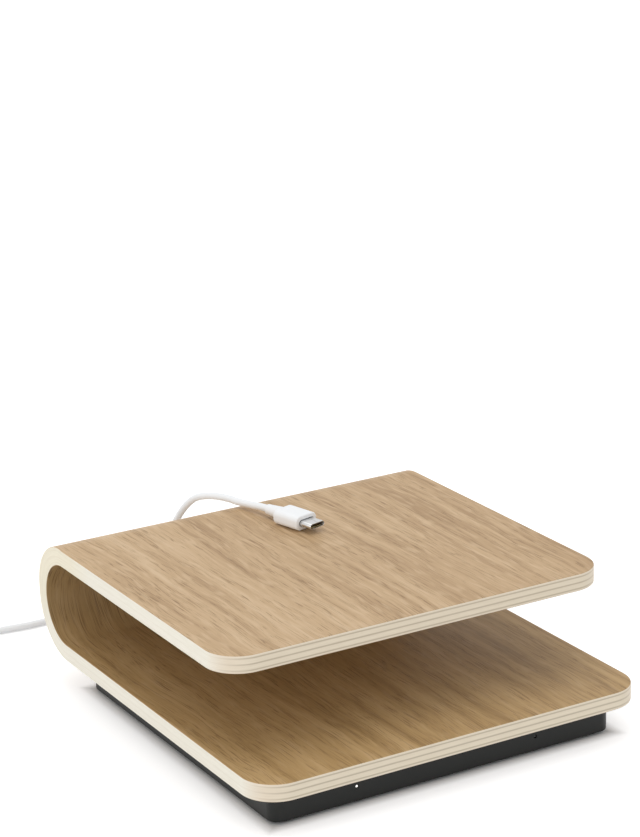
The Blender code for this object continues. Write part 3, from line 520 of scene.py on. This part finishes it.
def woven_material(name, colour, thread):
    """Plain weave: crossing warp and weft waves, a little fuzz, and painted shade in the hollows.
    """
    material, tree, shader = new_material(name)
    place = object_place(tree)
    x, y, z = split(tree, place)
    warp = (x * (math.pi / thread)).step("SINE")
    weft = ((y + z) * (math.pi / thread)).step("SINE")
    height = warp * weft * 0.5 + noise(tree, place, scale=2600.0)
    # Painted shade: the colour is darker where the weave dips, with the fuzz's own tone.
    weave_hollow_shade = [value * 0.82 for value in colour]
    fill(shader.inputs, {"Base Color": mixed(tree, between(tree, height, 0.0, 1.0), weave_hollow_shade, colour),
                         "Roughness": 0.85, "Sheen Weight": 0.25})
    bumped(tree, shader, height, distance=0.00006, strength=0.8)
    return material


strap_weave = woven_material("strap_weave", (0.72, 0.72, 0.72), tie_thread)


def new_verts(made):
    """The vertices among what an operator made."""
    return [item for item in made["geom"] if isinstance(item, bmesh.types.BMVert)]


def drag_edge(bm, edge, shift):
    """Pull a strip of surface out of an edge, and give its far edge."""
    made = bmesh.ops.extrude_edge_only(bm, edges=[edge])
    ends = new_verts(made)
    bmesh.ops.translate(bm, vec=shift, verts=ends)
    return next(item for item in made["geom"] if isinstance(item, bmesh.types.BMEdge)
                and set(item.verts) == set(ends))


def sharp_edges(bm):
    return [edge for edge in bm.edges if edge.calc_face_angle(0) > sharp_angle]


def round_over(bm, edges, offset, segments):
    bmesh.ops.bevel(bm, geom=edges, offset=offset, segments=segments, profile=0.5,
                    affect="EDGES", material=-1)


def tie_bmesh():
    """One turn of strap round the wound cord, its free end lying over the start."""
    middle, size = (tie_low + tie_high) / 2, tie_high - tie_low
    half_y, half_z = (size.y - tie_thickness) / 2, (size.z - tie_thickness) / 2
    lap = tie_thickness * tie_lap_share
    path = [(0.0, half_z)]
    for quarter, (side, up) in enumerate(((1, 1), (1, -1), (-1, -1), (-1, 1))):
        radius = tie_corner + (lap if quarter == 3 else 0.0)
        for step in range(7):
            angle = math.pi / 2 * (1 - quarter - step / 6)
            path.append((side * (half_y - tie_corner) + radius * math.cos(angle),
                         up * (half_z - tie_corner) + radius * math.sin(angle)))
    path += [(0.0, half_z + lap), (tie_end_share * half_y, half_z + lap)]

    bm = bmesh.new()
    edge = bm.edges.new([bm.verts.new((x, middle.y + path[0][0], middle.z + path[0][1]))
                         for x in (tie_low.x, tie_high.x)])
    for (y, z), (next_y, next_z) in zip(path, path[1:]):
        edge = drag_edge(bm, edge, (0, next_y - y, next_z - z))
    bmesh.ops.recalc_face_normals(bm, faces=bm.faces)
    bmesh.ops.solidify(bm, geom=list(bm.faces), thickness=tie_thickness)
    bmesh.ops.recalc_face_normals(bm, faces=bm.faces)
    round_over(bm, sharp_edges(bm), tie_thickness * tie_ease_share, 2)
    return bm


cord_tie = finish_piece("cord_tie_woven", tie_bmesh(), strap_weave)
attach(cord_tie, "power_lead")
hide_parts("cord_tie")

round(route_length(power_points), 3)
round(route_length(charge_points), 3)


# Plywood shell
# One strip of birch plywood with oak veneer on both faces, pressed round a former into a C. Its
# front corners are rounded, its arrises eased, and its edges left clear so that the plies show.
ply_thickness, slot_height, veneer_thickness = 0.00735, 0.0351, 0.00022
shell_corner, shell_ease, top_setback = 0.0148, 0.00045, 0.0256
bend_fullness = 0.0024
shell_low, shell_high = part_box("plywood_shell")
bend_inner_radius = slot_height / 2
bend_outer_radius = bend_inner_radius + ply_thickness
bend_middle_radius = bend_inner_radius + ply_thickness / 2
bend_centre = Vector((0, shell_high.y - bend_outer_radius,
                      shell_low.z + ply_thickness + bend_inner_radius))
hairline = 0.00001
to_mm = 1000.0


def ramp(tree, share, stops):
    """A colour ramp from (place, colour) stops."""
    made = add_node(tree, "ValToRGB", {0: share})
    points = made.color_ramp.elements
    while len(points) < len(stops):
        points.new(0.5)
    for point, (place, colour) in zip(points, stops):
        point.position = place
        point.color = (*colour, 1.0)
    return made.outputs["Color"]


def joined(tree, x, y, z):
    return add_node(tree, "CombineXYZ", {0: x, 1: y, 2: z}).outputs[0]


def strip_places(tree):
    """Millimetres across the bent strip, along it round the bend, and out from its inner face."""
    across, y, z = split(tree, object_place(tree))
    from_bend, rise = y - bend_centre.y, z - bend_centre.z
    behind = from_bend.step("MAXIMUM", 0.0)
    before = (from_bend * -1.0).step("MAXIMUM", 0.0)
    distance = (behind * behind + rise * rise).step("SQRT")
    reach = behind + rise.step("MAXIMUM", 0.0)
    swelling = (reach / distance - 1.0).step("MAXIMUM", 0.0)
    swollen = swelling * (bend_fullness / ply_thickness) + 1.0
    along = rise.step("ARCTAN2", behind) * bend_middle_radius + rise.step("SIGN") * before
    return across * to_mm, along * to_mm, (distance - bend_inner_radius) * to_mm / swollen


def front_share(tree):
    """1 on the front edges, 0 on the side edges, and between them round the corners."""
    x, y, z = split(tree, object_place(tree))
    corner_line = (z.step("GREATER_THAN", bend_centre.z) * top_setback
                   + (shell_low.y + shell_corner))
    ahead = (corner_line - y).step("MAXIMUM", 0.0)
    aside = (x.step("ABSOLUTE") - (shell_high.x - shell_corner)).step("MAXIMUM", hairline)
    return ahead.step("ARCTAN2", aside) / (math.pi / 2)


def oak_figure(tree, across, along, sheet):
    """Wandering flat-cut oak, painted darker to the right as shade: its colour and height.

    Bands, growth rings, streaks and fibres make the tone. Dark lines and open pores, and a few
    pale flecks, lie over it. The outer sheet, 1, is paler than the inner one, 0: painted light,
    the outer's paler tones standing for sheen on the top, the inner's darker, richer ones for
    the shade inside the slot.
    """
    shift = sheet * 137.0

    def grain(place, width, length, seed, detail=1.0, roughness=0.5):
        """Figure of a width and a length in millimetres."""
        return noise(tree, joined(tree, place / width, along / length, shift + seed),
                     detail=detail, roughness=roughness)

    wander = (grain(across, 60.0, 150.0, 3.1) - 0.5) * 9.0
    ripple = (grain(across, 10.0, 24.0, 7.7) - 0.5) * 2.4
    place = across + (wander + ripple)
    bands = grain(place, 6.0, 120.0, 11.3) - 0.5
    rings = grain(place, 2.6, 66.0, 23.9, roughness=0.55)
    streaks = grain(place, 1.2, 24.0, 37.1) - 0.5
    fibres = grain(place, 0.45, 30.0, 31.7)
    lines = grain(place, 0.46, 27.0, 43.1)
    pores = grain(place, 0.38, 9.0, 57.3)
    flecks = grain(place, 1.6, 12.0, 71.9, detail=0.0)

    # Painted shade: the oak is made darker towards the right.
    painted_shade_rightward = between(tree, across, -85.0, 85.0)
    tone = (bands * 0.80 + (rings - 0.5) * 0.48 + streaks * 0.22 + fibres * 0.32
            + painted_shade_rightward * -0.14 + sheet * -0.03 + 0.40)
    tones = (0.22, 0.42, 0.58, 0.80)
    # Painted light and shade: the inner sheet is darker and richer, the outer one paler.
    inner = ramp(tree, tone, list(zip(tones, [
        (0.355, 0.222, 0.094), (0.452, 0.293, 0.129), (0.505, 0.334, 0.155),
        (0.575, 0.393, 0.196)])))
    outer = ramp(tree, tone, list(zip(tones, [
        (0.415, 0.266, 0.137), (0.518, 0.349, 0.192), (0.572, 0.396, 0.225),
        (0.648, 0.470, 0.290)])))
    colour = mixed(tree, sheet, inner, outer)
    open_grain = between(tree, rings, 0.55, 0.42)
    line_mask = between(tree, lines, 0.62, 0.68) * (sheet * -0.24 + 0.68)
    pore_mask = between(tree, pores, 0.60, 0.66) * (open_grain * 0.44 + 0.20)
    dark_mask = line_mask.step("MAXIMUM", pore_mask)
    colour = mixed(tree, dark_mask, colour, (0.215, 0.126, 0.055))
    fleck_mask = between(tree, flecks, 0.58, 0.74) * (sheet * 0.28 + 0.14)
    colour = mixed(tree, fleck_mask, colour, (0.670, 0.490, 0.305))
    return colour, fibres * 0.35 - dark_mask


def build_oak_plywood():
    """Oak on the two faces, and between them the birch plies, their end grain to the front."""
    material, tree, shader = new_material("oak_faced_birch")
    across, along, depth = strip_places(tree)
    thickness, veneer = ply_thickness * to_mm, veneer_thickness * to_mm
    outer = depth.step("GREATER_THAN", thickness / 2)
    oak, oak_height = oak_figure(tree, across, along, outer)
    # Painted shade: the inner veneer is made darker round the inside of the bend.
    painted_bend_shade = between(tree, along.step("ABSOLUTE"), 38.0, 10.0) * (outer * -1.0 + 1.0)
    oak = mixed(tree, painted_bend_shade, oak, (0.83, 0.84, 0.85), "MULTIPLY")

    share = depth / thickness
    pale, cream, tan = (0.935, 0.840, 0.690), (0.918, 0.822, 0.664), (0.755, 0.658, 0.510)
    glue, turning = (0.590, 0.498, 0.368), (0.862, 0.748, 0.603)
    end_grain = ramp(tree, share, [
        (0.00, pale), (0.095, pale), (0.135, tan), (0.165, glue), (0.195, tan), (0.235, cream),
        (0.430, cream), (0.468, tan), (0.500, glue), (0.532, tan), (0.570, cream),
        (0.765, cream), (0.805, tan), (0.835, glue), (0.865, tan), (0.905, pale)])
    bright, soft = (0.945, 0.903, 0.792), (0.915, 0.866, 0.748)
    long_grain = ramp(tree, share, [
        (0.00, bright), (0.12, bright), (0.17, soft), (0.23, bright), (0.44, bright),
        (0.50, soft), (0.56, bright), (0.76, bright), (0.82, soft), (0.89, bright)])
    # Painted shade: the bend's edge is a little darker and yellower, most at its upper back.
    painted_bend_edge_shade = between(tree, (along - 22.0).step("ABSOLUTE"), 38.0, 20.0)
    long_grain = mixed(tree, painted_bend_edge_shade, long_grain, (0.985, 0.960, 0.885), "MULTIPLY")
    frontness = front_share(tree)
    edge = mixed(tree, between(tree, frontness, 0.05, 0.50), long_grain, turning)
    edge = mixed(tree, between(tree, frontness, 0.25, 0.95), edge, end_grain)
    streaks = noise(tree, joined(tree, across * 0.11, along * 0.11, depth * 4.5),
                    detail=3.0, roughness=0.6)
    edge = mixed(tree, 1.0, edge, ramp(tree, streaks, [
        (0.25, (0.89, 0.88, 0.86)), (0.75, (1.0, 1.0, 1.0))]), "MULTIPLY")

    from_middle = (depth - thickness / 2).step("ABSOLUTE")
    on_face = between(tree, from_middle, thickness / 2 - veneer, thickness / 2 - veneer * 0.6)
    fill(shader.inputs, {"Base Color": mixed(tree, on_face, edge, oak),
                         "Roughness": oak_height * -0.10 + 0.46, "Specular IOR Level": 0.2})
    bumped(tree, shader, oak_height * on_face, distance=0.00005, strength=0.5)
    return material


def shell_bmesh():
    """The C section drawn by one spin, pulled out to its width, and rounded at the front.

    The upper back of the bend is a little fuller than the lower back.
    """
    bm = bmesh.new()
    front = bm.edges.new((bm.verts.new(shell_low),
                          bm.verts.new((shell_low.x, shell_low.y, shell_low.z + ply_thickness))))
    lower = drag_edge(bm, front, (0, bend_centre.y - shell_low.y, 0))
    spun = bmesh.ops.spin(bm, geom=[*lower.verts, lower], cent=bend_centre, axis=(1, 0, 0),
                          angle=math.pi, steps=72, use_duplicate=False)["geom_last"]
    upper = next(item for item in spun if isinstance(item, bmesh.types.BMEdge))
    drag_edge(bm, upper, (0, shell_low.y + top_setback - upper.verts[0].co.y, 0))
    tighter = 1 - bend_fullness / bend_outer_radius
    for vert in bm.verts:
        y, z = (vert.co - bend_centre).yz
        if math.hypot(y, z) > bend_middle_radius and min(y, z) >= -hairline:
            vert.co.y = bend_centre.y + bend_fullness + y * tighter
            vert.co.z = bend_centre.z + bend_fullness + z * tighter
    pulled = bmesh.ops.extrude_face_region(bm, geom=list(bm.faces))
    bmesh.ops.translate(bm, vec=(shell_high.x - shell_low.x, 0, 0), verts=new_verts(pulled))
    bmesh.ops.recalc_face_normals(bm, faces=bm.faces)
    corners = [edge for edge in sharp_edges(bm) if edge.verts[0].co.y < 0
               and abs(edge.verts[0].co.z - edge.verts[1].co.z) > ply_thickness / 2]
    round_over(bm, corners, shell_corner, 20)
    round_over(bm, sharp_edges(bm), shell_ease, 3)
    return bm


def add_rods(bm, radius, low, high, spots, steps):
    """Upright cylinders between two heights, one at each spot."""
    for x, y in spots:
        bmesh.ops.create_cone(bm, cap_ends=True, segments=steps, radius1=radius, radius2=radius,
                              depth=high - low,
                              matrix=Matrix.Translation((x, y, (low + high) / 2)))


def carve(piece, bm, operation="DIFFERENCE"):
    """Cut a solid out of a piece, or weld it on, and keep only the result."""
    tool = finish_piece("carving_tool", bm)
    step = piece.modifiers.new("carving", "BOOLEAN")
    step.operation = operation
    step.solver = "EXACT"
    step.object = tool
    bpy.context.view_layer.update()
    carved = bpy.data.meshes.new_from_object(
        piece.evaluated_get(bpy.context.evaluated_depsgraph_get()))
    piece.modifiers.clear()
    old, piece.data = piece.data, carved
    carved.name = piece.name
    bpy.data.meshes.remove(old)
    bpy.data.objects.remove(tool, do_unlink=True)


def even_normals(piece):
    """Keep flat faces flat beside their small rounded edges."""
    step = piece.modifiers.new("even_normals", "WEIGHTED_NORMAL")
    step.keep_sharp = True
    step.weight = 60


def spots_of(*names):
    """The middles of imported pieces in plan."""
    boxes = [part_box(name) for name in names]
    return [((low.x + high.x) / 2, (low.y + high.y) / 2) for low, high in boxes]


wood_screw_spots = spots_of(*(f"wood_screw_{index}" for index in range(1, 7)))
coil_across, coil_back = front_middle("light_pipe_right").x, -0.0040
pocket_radius, pocket_top = 0.02655, 0.0185
pilot_radius, pilot_top = 0.0016, 0.01875
overcut = 0.001

plywood_shell = finish_piece("plywood_shell_bent", shell_bmesh(), build_oak_plywood(),
                             smooth_angle=40)
milling = bmesh.new()
add_rods(milling, pocket_radius, shell_low.z - overcut, pocket_top,
         [(-coil_across, coil_back), (coil_across, coil_back)], steps=96)
add_rods(milling, pilot_radius, shell_low.z - overcut, pilot_top, wood_screw_spots, steps=24)
carve(plywood_shell, milling)
even_normals(plywood_shell)
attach(plywood_shell, "charger")
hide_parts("plywood_shell")


# Base tray
# A black moulded tray under the lower leg, with a fine spark-eroded texture. Two pinholes in its
# front wall let the status lights through, and its back wall has the two sockets.
matte_black = moulded_material("matte_black_tray", (0.011, 0.012, 0.011), 0.42,
                               grain_size=0.00035, drift=0.10, depth=0.00004, specular=0.30)
tray_wall, tray_floor_thickness, tray_corner, tray_ease = 0.0022, 0.0024, 0.0050, 0.0006
foot_radius, foot_height = 0.0065, 0.0020
screw_head_radius, screw_radius, screw_recess_top = 0.0026, 0.0013, 0.0031
screw_boss_radius, board_post_radius, light_post_radius = 0.0042, 0.0026, 0.0024
pinhole_radius, pinhole_length, port_overlap = 0.0008, 0.008, 0.0005
play = 0.0003
port_corner_share = 0.49


def pair(name):
    """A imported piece's name on the left and on the right."""
    return [f"{name}_left", f"{name}_right"]


sockets = ("power_socket", "output_socket")
feet = pair("foot_front") + pair("foot_rear")
light_pipes, light_screws = pair("light_pipe"), pair("light_screw")
board_screws = [f"board_screw_{index}" for index in range(1, 5)]


def rounded_block(bm, low, high, corner, steps=8, axis=2):
    """A box between two corners, its edges along one axis rounded."""
    size = Vector(high) - Vector(low)
    made = bmesh.ops.create_cube(bm, size=1.0)["verts"]
    bmesh.ops.scale(bm, vec=size, verts=made)
    bmesh.ops.translate(bm, vec=Vector(low) + size / 2, verts=made)
    round_over(bm, [edge for edge in {edge for vert in made for edge in vert.link_edges}
                    if abs(edge.verts[0].co[axis] - edge.verts[1].co[axis]) > size[axis] / 2],
               corner, steps)


tray_bm = bmesh.new()
rounded_block(tray_bm, tray_low, tray_high, tray_corner, steps=14)
bmesh.ops.recalc_face_normals(tray_bm, faces=tray_bm.faces)
round_over(tray_bm, sharp_edges(tray_bm), tray_ease, 3)
base_tray = finish_piece("base_tray_moulded", tray_bm, matte_black)
inner_low = tray_low + Vector((tray_wall, tray_wall, tray_floor_thickness))
inner_high = tray_high + Vector((-tray_wall, -tray_wall, overcut))
hollow = bmesh.new()
rounded_block(hollow, inner_low, inner_high, tray_corner - tray_wall)
carve(base_tray, hollow)

bosses = bmesh.new()
root = inner_low.z - tray_floor_thickness / 2
for radius, spots, held, steps in (
        (screw_boss_radius, wood_screw_spots, "coil_deck", 32),
        (board_post_radius, spots_of(*board_screws), "main_board", 24),
        (light_post_radius, spots_of(*light_screws), "light_board", 24)):
    add_rods(bosses, radius, root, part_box(held)[0].z - play, spots, steps)
carve(base_tray, bosses, "UNION")

openings = bmesh.new()
add_rods(openings, screw_radius + play, root, tray_high.z, wood_screw_spots, steps=24)
add_rods(openings, screw_head_radius + play, -overcut, screw_recess_top, wood_screw_spots,
         steps=32)
carve(base_tray, openings)
openings = bmesh.new()
add_rods(openings, foot_radius + play, -overcut, foot_height + play, spots_of(*feet), steps=48)
carve(base_tray, openings)
openings = bmesh.new()
for name in sockets:
    low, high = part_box(name)
    rounded_block(openings, (low.x - play, inner_high.y - port_overlap, low.z - play),
                  (high.x + play, tray_high.y + overcut, high.z + play),
                  (high.z - low.z) * port_corner_share + play, axis=1)
for name in light_pipes:
    pipe = front_middle(name)
    bmesh.ops.create_cone(
        openings, cap_ends=True, segments=32, radius1=pinhole_radius, radius2=pinhole_radius,
        depth=pinhole_length, matrix=Matrix.Translation((pipe.x, tray_low.y, pipe.z))
        @ Matrix.Rotation(math.pi / 2, 4, "X"))
carve(base_tray, openings)
even_normals(base_tray)
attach(base_tray, "charger")
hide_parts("base_tray")


# Rubber feet
# Four discs of black rubber, moulded with an eased lower rim. They are pressed into round
# recesses under the tray.
foot_rubber = moulded_material("foot_rubber", (0.030, 0.030, 0.030), 0.78,
                               grain_size=0.00028, drift=0.14, depth=0.00003)
foot_ease, rim_share = 0.0004, 0.15


def turned(outline, place, steps=40):
    """A bmesh of an outline of (radius, height) pairs, spun once round an upright axis."""
    bm = bmesh.new()
    chain = [bm.verts.new((place[0] + radius, place[1], height)) for radius, height in outline]
    edges = [bm.edges.new(ends) for ends in zip(chain, chain[1:])]
    bmesh.ops.spin(bm, geom=chain + edges, cent=(*place, 0), axis=(0, 0, 1), angle=math.tau,
                   steps=steps, use_merge=True)
    return bm


for name, spot in zip(feet, spots_of(*feet)):
    foot = finish_piece(f"{name}_moulded", turned([
        (0, foot_height), (foot_radius, foot_height), (foot_radius, foot_ease),
        (foot_radius - foot_ease * rim_share, foot_ease / 2),
        (foot_radius - foot_ease / 2, foot_ease * rim_share), (foot_radius - foot_ease, 0),
        (0, 0)], spot, steps=64), foot_rubber)
    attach(foot, "charger")
    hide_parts(name)


# Wood screws
# Six countersunk screws of zinc-plated steel with crossed recesses. They are driven up through
# tray and deck into blind holes in the plywood.
screw_zinc = metal_material("screw_zinc", (0.50, 0.50, 0.49), 0.34,
                            line_scale=(500.0, 500.0, 60.0))
screw_low, screw_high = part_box("wood_screw_1")
screw_tip, screw_taper, screw_ease = 0.0003, 0.0028, 0.0001
head_height, head_rim, head_bevel = 0.0016, 0.0003, 0.00012
recess_depth, recess_reach, recess_width, recess_taper = 0.0012, 0.0014, 0.00032, 0.55


def cross_recess(place, low, high):
    """A tapered cross that opens downwards."""
    width, reach = recess_width, recess_reach
    outline = [(width, width), (width, reach), (-width, reach), (-width, width),
               (-reach, width), (-reach, -width), (-width, -width), (-width, -reach),
               (width, -reach), (width, -width), (reach, -width), (reach, width)]
    bm = bmesh.new()
    face = bm.faces.new([bm.verts.new((place[0] + x, place[1] + y, low)) for x, y in outline])
    tips = new_verts(bmesh.ops.extrude_face_region(bm, geom=[face]))
    bmesh.ops.translate(bm, vec=(0, 0, high - low), verts=tips)
    bmesh.ops.scale(bm, vec=(recess_taper, recess_taper, 1.0), verts=tips,
                    space=Matrix.Translation((-place[0], -place[1], 0)))
    return bm


for index, spot in enumerate(wood_screw_spots, start=1):
    head = screw_low.z
    screw = finish_piece(f"wood_screw_{index}_crossed", turned([
        (0, screw_high.z), (screw_tip, screw_high.z - screw_tip),
        (screw_radius, screw_high.z - screw_taper), (screw_radius, head + head_height),
        (screw_radius + screw_ease, head + head_height - 2 * screw_ease),
        (screw_head_radius - screw_ease, head + head_rim + screw_ease),
        (screw_head_radius, head + head_rim), (screw_head_radius, head + head_bevel),
        (screw_head_radius - head_bevel, head), (0, head)], spot), screw_zinc)
    carve(screw, cross_recess(spot, head - 2 * screw_ease, head + recess_depth))
    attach(screw, "charger")
    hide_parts(f"wood_screw_{index}")


# Status lights
# Two clear rods bring the light of two small lamps on the light board to pinholes in the front.
# The left one shines white and the right one is off.
rod_radius, rod_dome, rod_flange_radius, rod_flange = 0.0005, 0.0003, 0.0012, 0.0007
dome_shares = ((0.0, 0.0), (0.5, 0.1), (0.84, 0.4), (1.0, 1.0))


def light_material(name, colour, glow):
    """A clear resin, a little cloudy, that may shine."""
    material, tree, shader = new_material(name)
    cloud = noise(tree, object_place(tree), scale=900.0, detail=1.0)
    dim = [value * 0.9 for value in colour]
    fill(shader.inputs, {"Base Color": mixed(tree, cloud, dim, colour), "Roughness": 0.12,
                         "Emission Color": (1.0, 0.98, 0.94), "Emission Strength": glow})
    return material


# The right rod's near-black colour is painted shade, the dark tray seen through clear resin.
for name, material in zip(light_pipes, (
        light_material("lit_rod", (0.80, 0.80, 0.78), 1.0),
        light_material("unlit_rod_painted_shade", (0.035, 0.036, 0.036), 0.0))):
    low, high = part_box(name)
    rod_bm = turned([
        *((rod_radius * wide, low.y + rod_dome * back) for wide, back in dome_shares),
        (rod_radius, high.y - rod_flange), (rod_flange_radius, high.y - rod_flange),
        (rod_flange_radius, high.y), (0, high.y)], (0, 0), steps=32)
    bmesh.ops.rotate(rod_bm, cent=(0, 0, 0), matrix=Matrix.Rotation(-math.pi / 2, 3, "X"),
                     verts=rod_bm.verts)
    bmesh.ops.translate(rod_bm, verts=rod_bm.verts,
                        vec=((low.x + high.x) / 2, 0, (low.z + high.z) / 2))
    rod = finish_piece(f"{name}_domed", rod_bm, material)
    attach(rod, "charger")
    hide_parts(name)


# Sockets
# Two port shells of drawn steel stand in the tray's back wall. Each holds a black plastic
# tongue with gilt contacts above and below.
port_black = moulded_material("port_black", (0.020, 0.020, 0.021), 0.42)
port_wall, port_roll, full_corner = 0.00035, 0.00010, 1.0
port_floor, tongue_root, tongue_start, tongue_end = 0.0005, 0.0006, 0.0009, 0.0050
tongue_width, tongue_height, tongue_corner, tongue_ease = 0.0067, 0.0007, 0.0002, 0.0003
tongue_tip = 0.0001
port_contact_size, port_contact_depth, port_contact_height = (
    (0.00025, 0.0032, 0.00006), 0.0031, 0.00036)
for name in sockets:
    low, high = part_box(name)
    width, height, back, mouth = high.x - low.x, high.z - low.z, low.y, high.y
    bore_width, bore_height = width - 2 * port_wall, height - 2 * port_wall
    port_bm = lofted([
        (width, height, full_corner, back), (width, height, full_corner, mouth - port_roll),
        (width - port_roll, height - port_roll, full_corner, mouth),
        (bore_width + port_roll, bore_height + port_roll, full_corner, mouth),
        (bore_width, bore_height, full_corner, mouth - port_roll),
        (bore_width, bore_height, full_corner, back + port_floor)])
    tongue_bm = lofted([
        (bore_width, bore_height, full_corner, back + tongue_root),
        (bore_width, bore_height, full_corner, back + tongue_start),
        (tongue_width, tongue_height, tongue_corner, back + tongue_start),
        (tongue_width, tongue_height, tongue_corner, back + tongue_end),
        (tongue_width - tongue_ease, tongue_height - tongue_ease, tongue_corner,
         back + tongue_end + tongue_tip)])
    contacts_bm = contact_rows(port_contact_size, back + port_contact_depth,
                               port_contact_height)
    for part, bm, material, slot in (("shell", port_bm, drawn_steel, "steel"),
                                     ("tongue", tongue_bm, port_black, "black_plastic"),
                                     ("contacts", contacts_bm, gilt, "steel")):
        bmesh.ops.translate(bm, vec=((low.x + high.x) / 2, 0, (low.z + high.z) / 2),
                            verts=bm.verts)
        piece = finish_piece(f"{name}_{part}", bm, material)
        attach(piece, "charger")
        if part == "shell":
            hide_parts(name)


# Deck, coils and ballast
# Hidden inside: a black deck with a cup under each coil, ferrite discs, copper spirals and a
# rolled steel plate that keeps the light wooden shell from tipping.
def dress(names, material):
    """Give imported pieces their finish."""
    for name in names:
        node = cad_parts[name]
        node.data.materials.clear()
        node.data.materials.append(material)


dress(["coil_deck"],
      moulded_material("deck_black", (0.032, 0.032, 0.033), 0.55, grain_size=0.0003))
dress(pair("ferrite"),
      moulded_material("sintered_ferrite", (0.055, 0.055, 0.060), 0.62,
                       grain_size=0.0004, drift=0.2, depth=0.00003))
dress(pair("charge_coil"),
      metal_material("enamelled_copper", (0.72, 0.33, 0.16), 0.30,
                     line_scale=(300.0, 300.0, 300.0)))
dress(["ballast_plate"],
      metal_material("rolled_steel", (0.42, 0.43, 0.44), 0.44,
                     line_scale=(40.0, 900.0, 40.0), drift=0.14))


# Boards and their parts
# Two green circuit boards stand on the tray's posts, held by small screws. They carry the
# controller, drivers, inductors, capacitors and lamps, and a ribbon joins them.
track_frequency = 5200.0


def board_material():
    """Solder mask over copper tracks that run square to each other."""
    material, tree, shader = new_material("circuit_board")
    place = object_place(tree)
    x, y, _ = split(tree, place)
    crosswise = noise(tree, place, scale=110.0, detail=0.0).step("GREATER_THAN", 0.5)
    run = Signal(add_node(tree, "Mix", {0: crosswise, 2: x, 3: y}).outputs[0])
    track = (run * track_frequency).step("SINE").step("GREATER_THAN", 0.35)
    fill(shader.inputs, {"Roughness": 0.34, "Base Color": mixed(
        tree, track * 0.8, (0.012, 0.085, 0.040), (0.030, 0.150, 0.070))})
    bumped(tree, shader, track, distance=0.00003)
    return material


dress(["main_board", "light_board"], board_material())
dress(["controller_chip", *pair("coil_driver")],
      moulded_material("chip_epoxy", (0.025, 0.025, 0.027), 0.46, grain_size=0.00015))
dress(pair("inductor"),
      moulded_material("pressed_iron", (0.16, 0.16, 0.17), 0.62,
                       grain_size=0.0003, drift=0.2, depth=0.00003))
dress(pair("capacitor"),
      metal_material("capacitor_can", (0.60, 0.61, 0.62), 0.30,
                     line_scale=(200.0, 200.0, 900.0)))
dress(pair("tuning_capacitor_near") + pair("tuning_capacitor_far"),
      moulded_material("film_capacitor", (0.42, 0.10, 0.05), 0.45))
dress(["ribbon_socket"], moulded_material("socket_nylon", (0.78, 0.77, 0.73), 0.42))
dress(["light_ribbon"], moulded_material("ribbon_film", (0.62, 0.62, 0.60), 0.5))
dress(pair("status_led"), moulded_material("led_resin", (0.80, 0.78, 0.62), 0.35))
dress(board_screws + light_screws, screw_zinc)


# Floor, lamps and world
# A pale floor that shows white to the camera and keeps a soft shadow. It doesn't shine under the
# tray, so that the gap between the feet stays dark. A large soft lamp hangs above, a smaller one
# stands at the left, and the world is an even white.
floor_half_size, floor_drop, floor_tone = 3.0, 0.0003, 0.80
near_shine, far_shine, world_light = 0.50, 0.20, 0.80
near_span, far_span = (-0.001, 0.005), (0.10, 0.50)


def seen_rays(tree):
    """1 for rays that the camera sees at once, through glass or in a reflection."""
    paths = add_node(tree, "LightPath").outputs
    mirrored = Signal(paths["Is Glossy Ray"]).step("MAXIMUM", paths["Is Transmission Ray"])
    return mirrored.step("MAXIMUM", paths["Is Camera Ray"])


floor_material, floor_tree, floor_shader = new_material("pale_floor")
x, y, _ = split(floor_tree, object_place(floor_tree))
tray_middle, tray_half = (tray_low + tray_high) / 2, (tray_high - tray_low) / 2
beside = x.step("ABSOLUTE") - tray_half.x
beyond = (y - tray_middle.y).step("ABSOLUTE") - tray_half.y
outside = beside.step("MAXIMUM", beyond)
# Painted light: the floor glows for the camera, not under the tray, and more from 0.1 m out.
shine = (between(floor_tree, outside, *near_span, 0.0, near_shine)
         + between(floor_tree, outside, *far_span, 0.0, far_shine))
fill(floor_shader.inputs, {"Base Color": (floor_tone, floor_tone, floor_tone), "Roughness": 1.0,
                           "Specular IOR Level": 0.0, "Emission Color": (1.0, 1.0, 1.0),
                           "Emission Strength": shine * seen_rays(floor_tree)})
floor_bm = bmesh.new()
bmesh.ops.create_grid(floor_bm, x_segments=1, y_segments=1, size=floor_half_size)
bmesh.ops.translate(floor_bm, vec=(0, 0, -floor_drop), verts=floor_bm.verts)
floor = finish_piece("studio_floor", floor_bm, floor_material)

world = bpy.data.worlds.new("studio_world")
bpy.context.scene.world = world
world.use_nodes = True
fill(world.node_tree.nodes["Background"].inputs, {
    "Color": (1.0, 1.0, 1.0), "Strength": between(
        world.node_tree, seen_rays(world.node_tree), 0.0, 1.0, world_light, 1.0)})


def soft_lamp(name, place, target, size, power):
    data = bpy.data.lights.new(name, "AREA")
    data.shape = "DISK"
    data.size = size
    data.energy = power
    lamp = bpy.data.objects.new(name, data)
    lamp.location = place
    lamp.rotation_euler = (Vector(target) - Vector(place)).to_track_quat("-Z", "Y").to_euler()
    bpy.context.scene.collection.objects.link(lamp)


soft_lamp("top_lamp", (0.0, 0.2, 1.7), (0, 0, 0.03), size=1.6, power=6.0)
soft_lamp("side_lamp", (-1.7, -0.3, 0.35), (0, 0, 0.03), size=0.8, power=4.5)
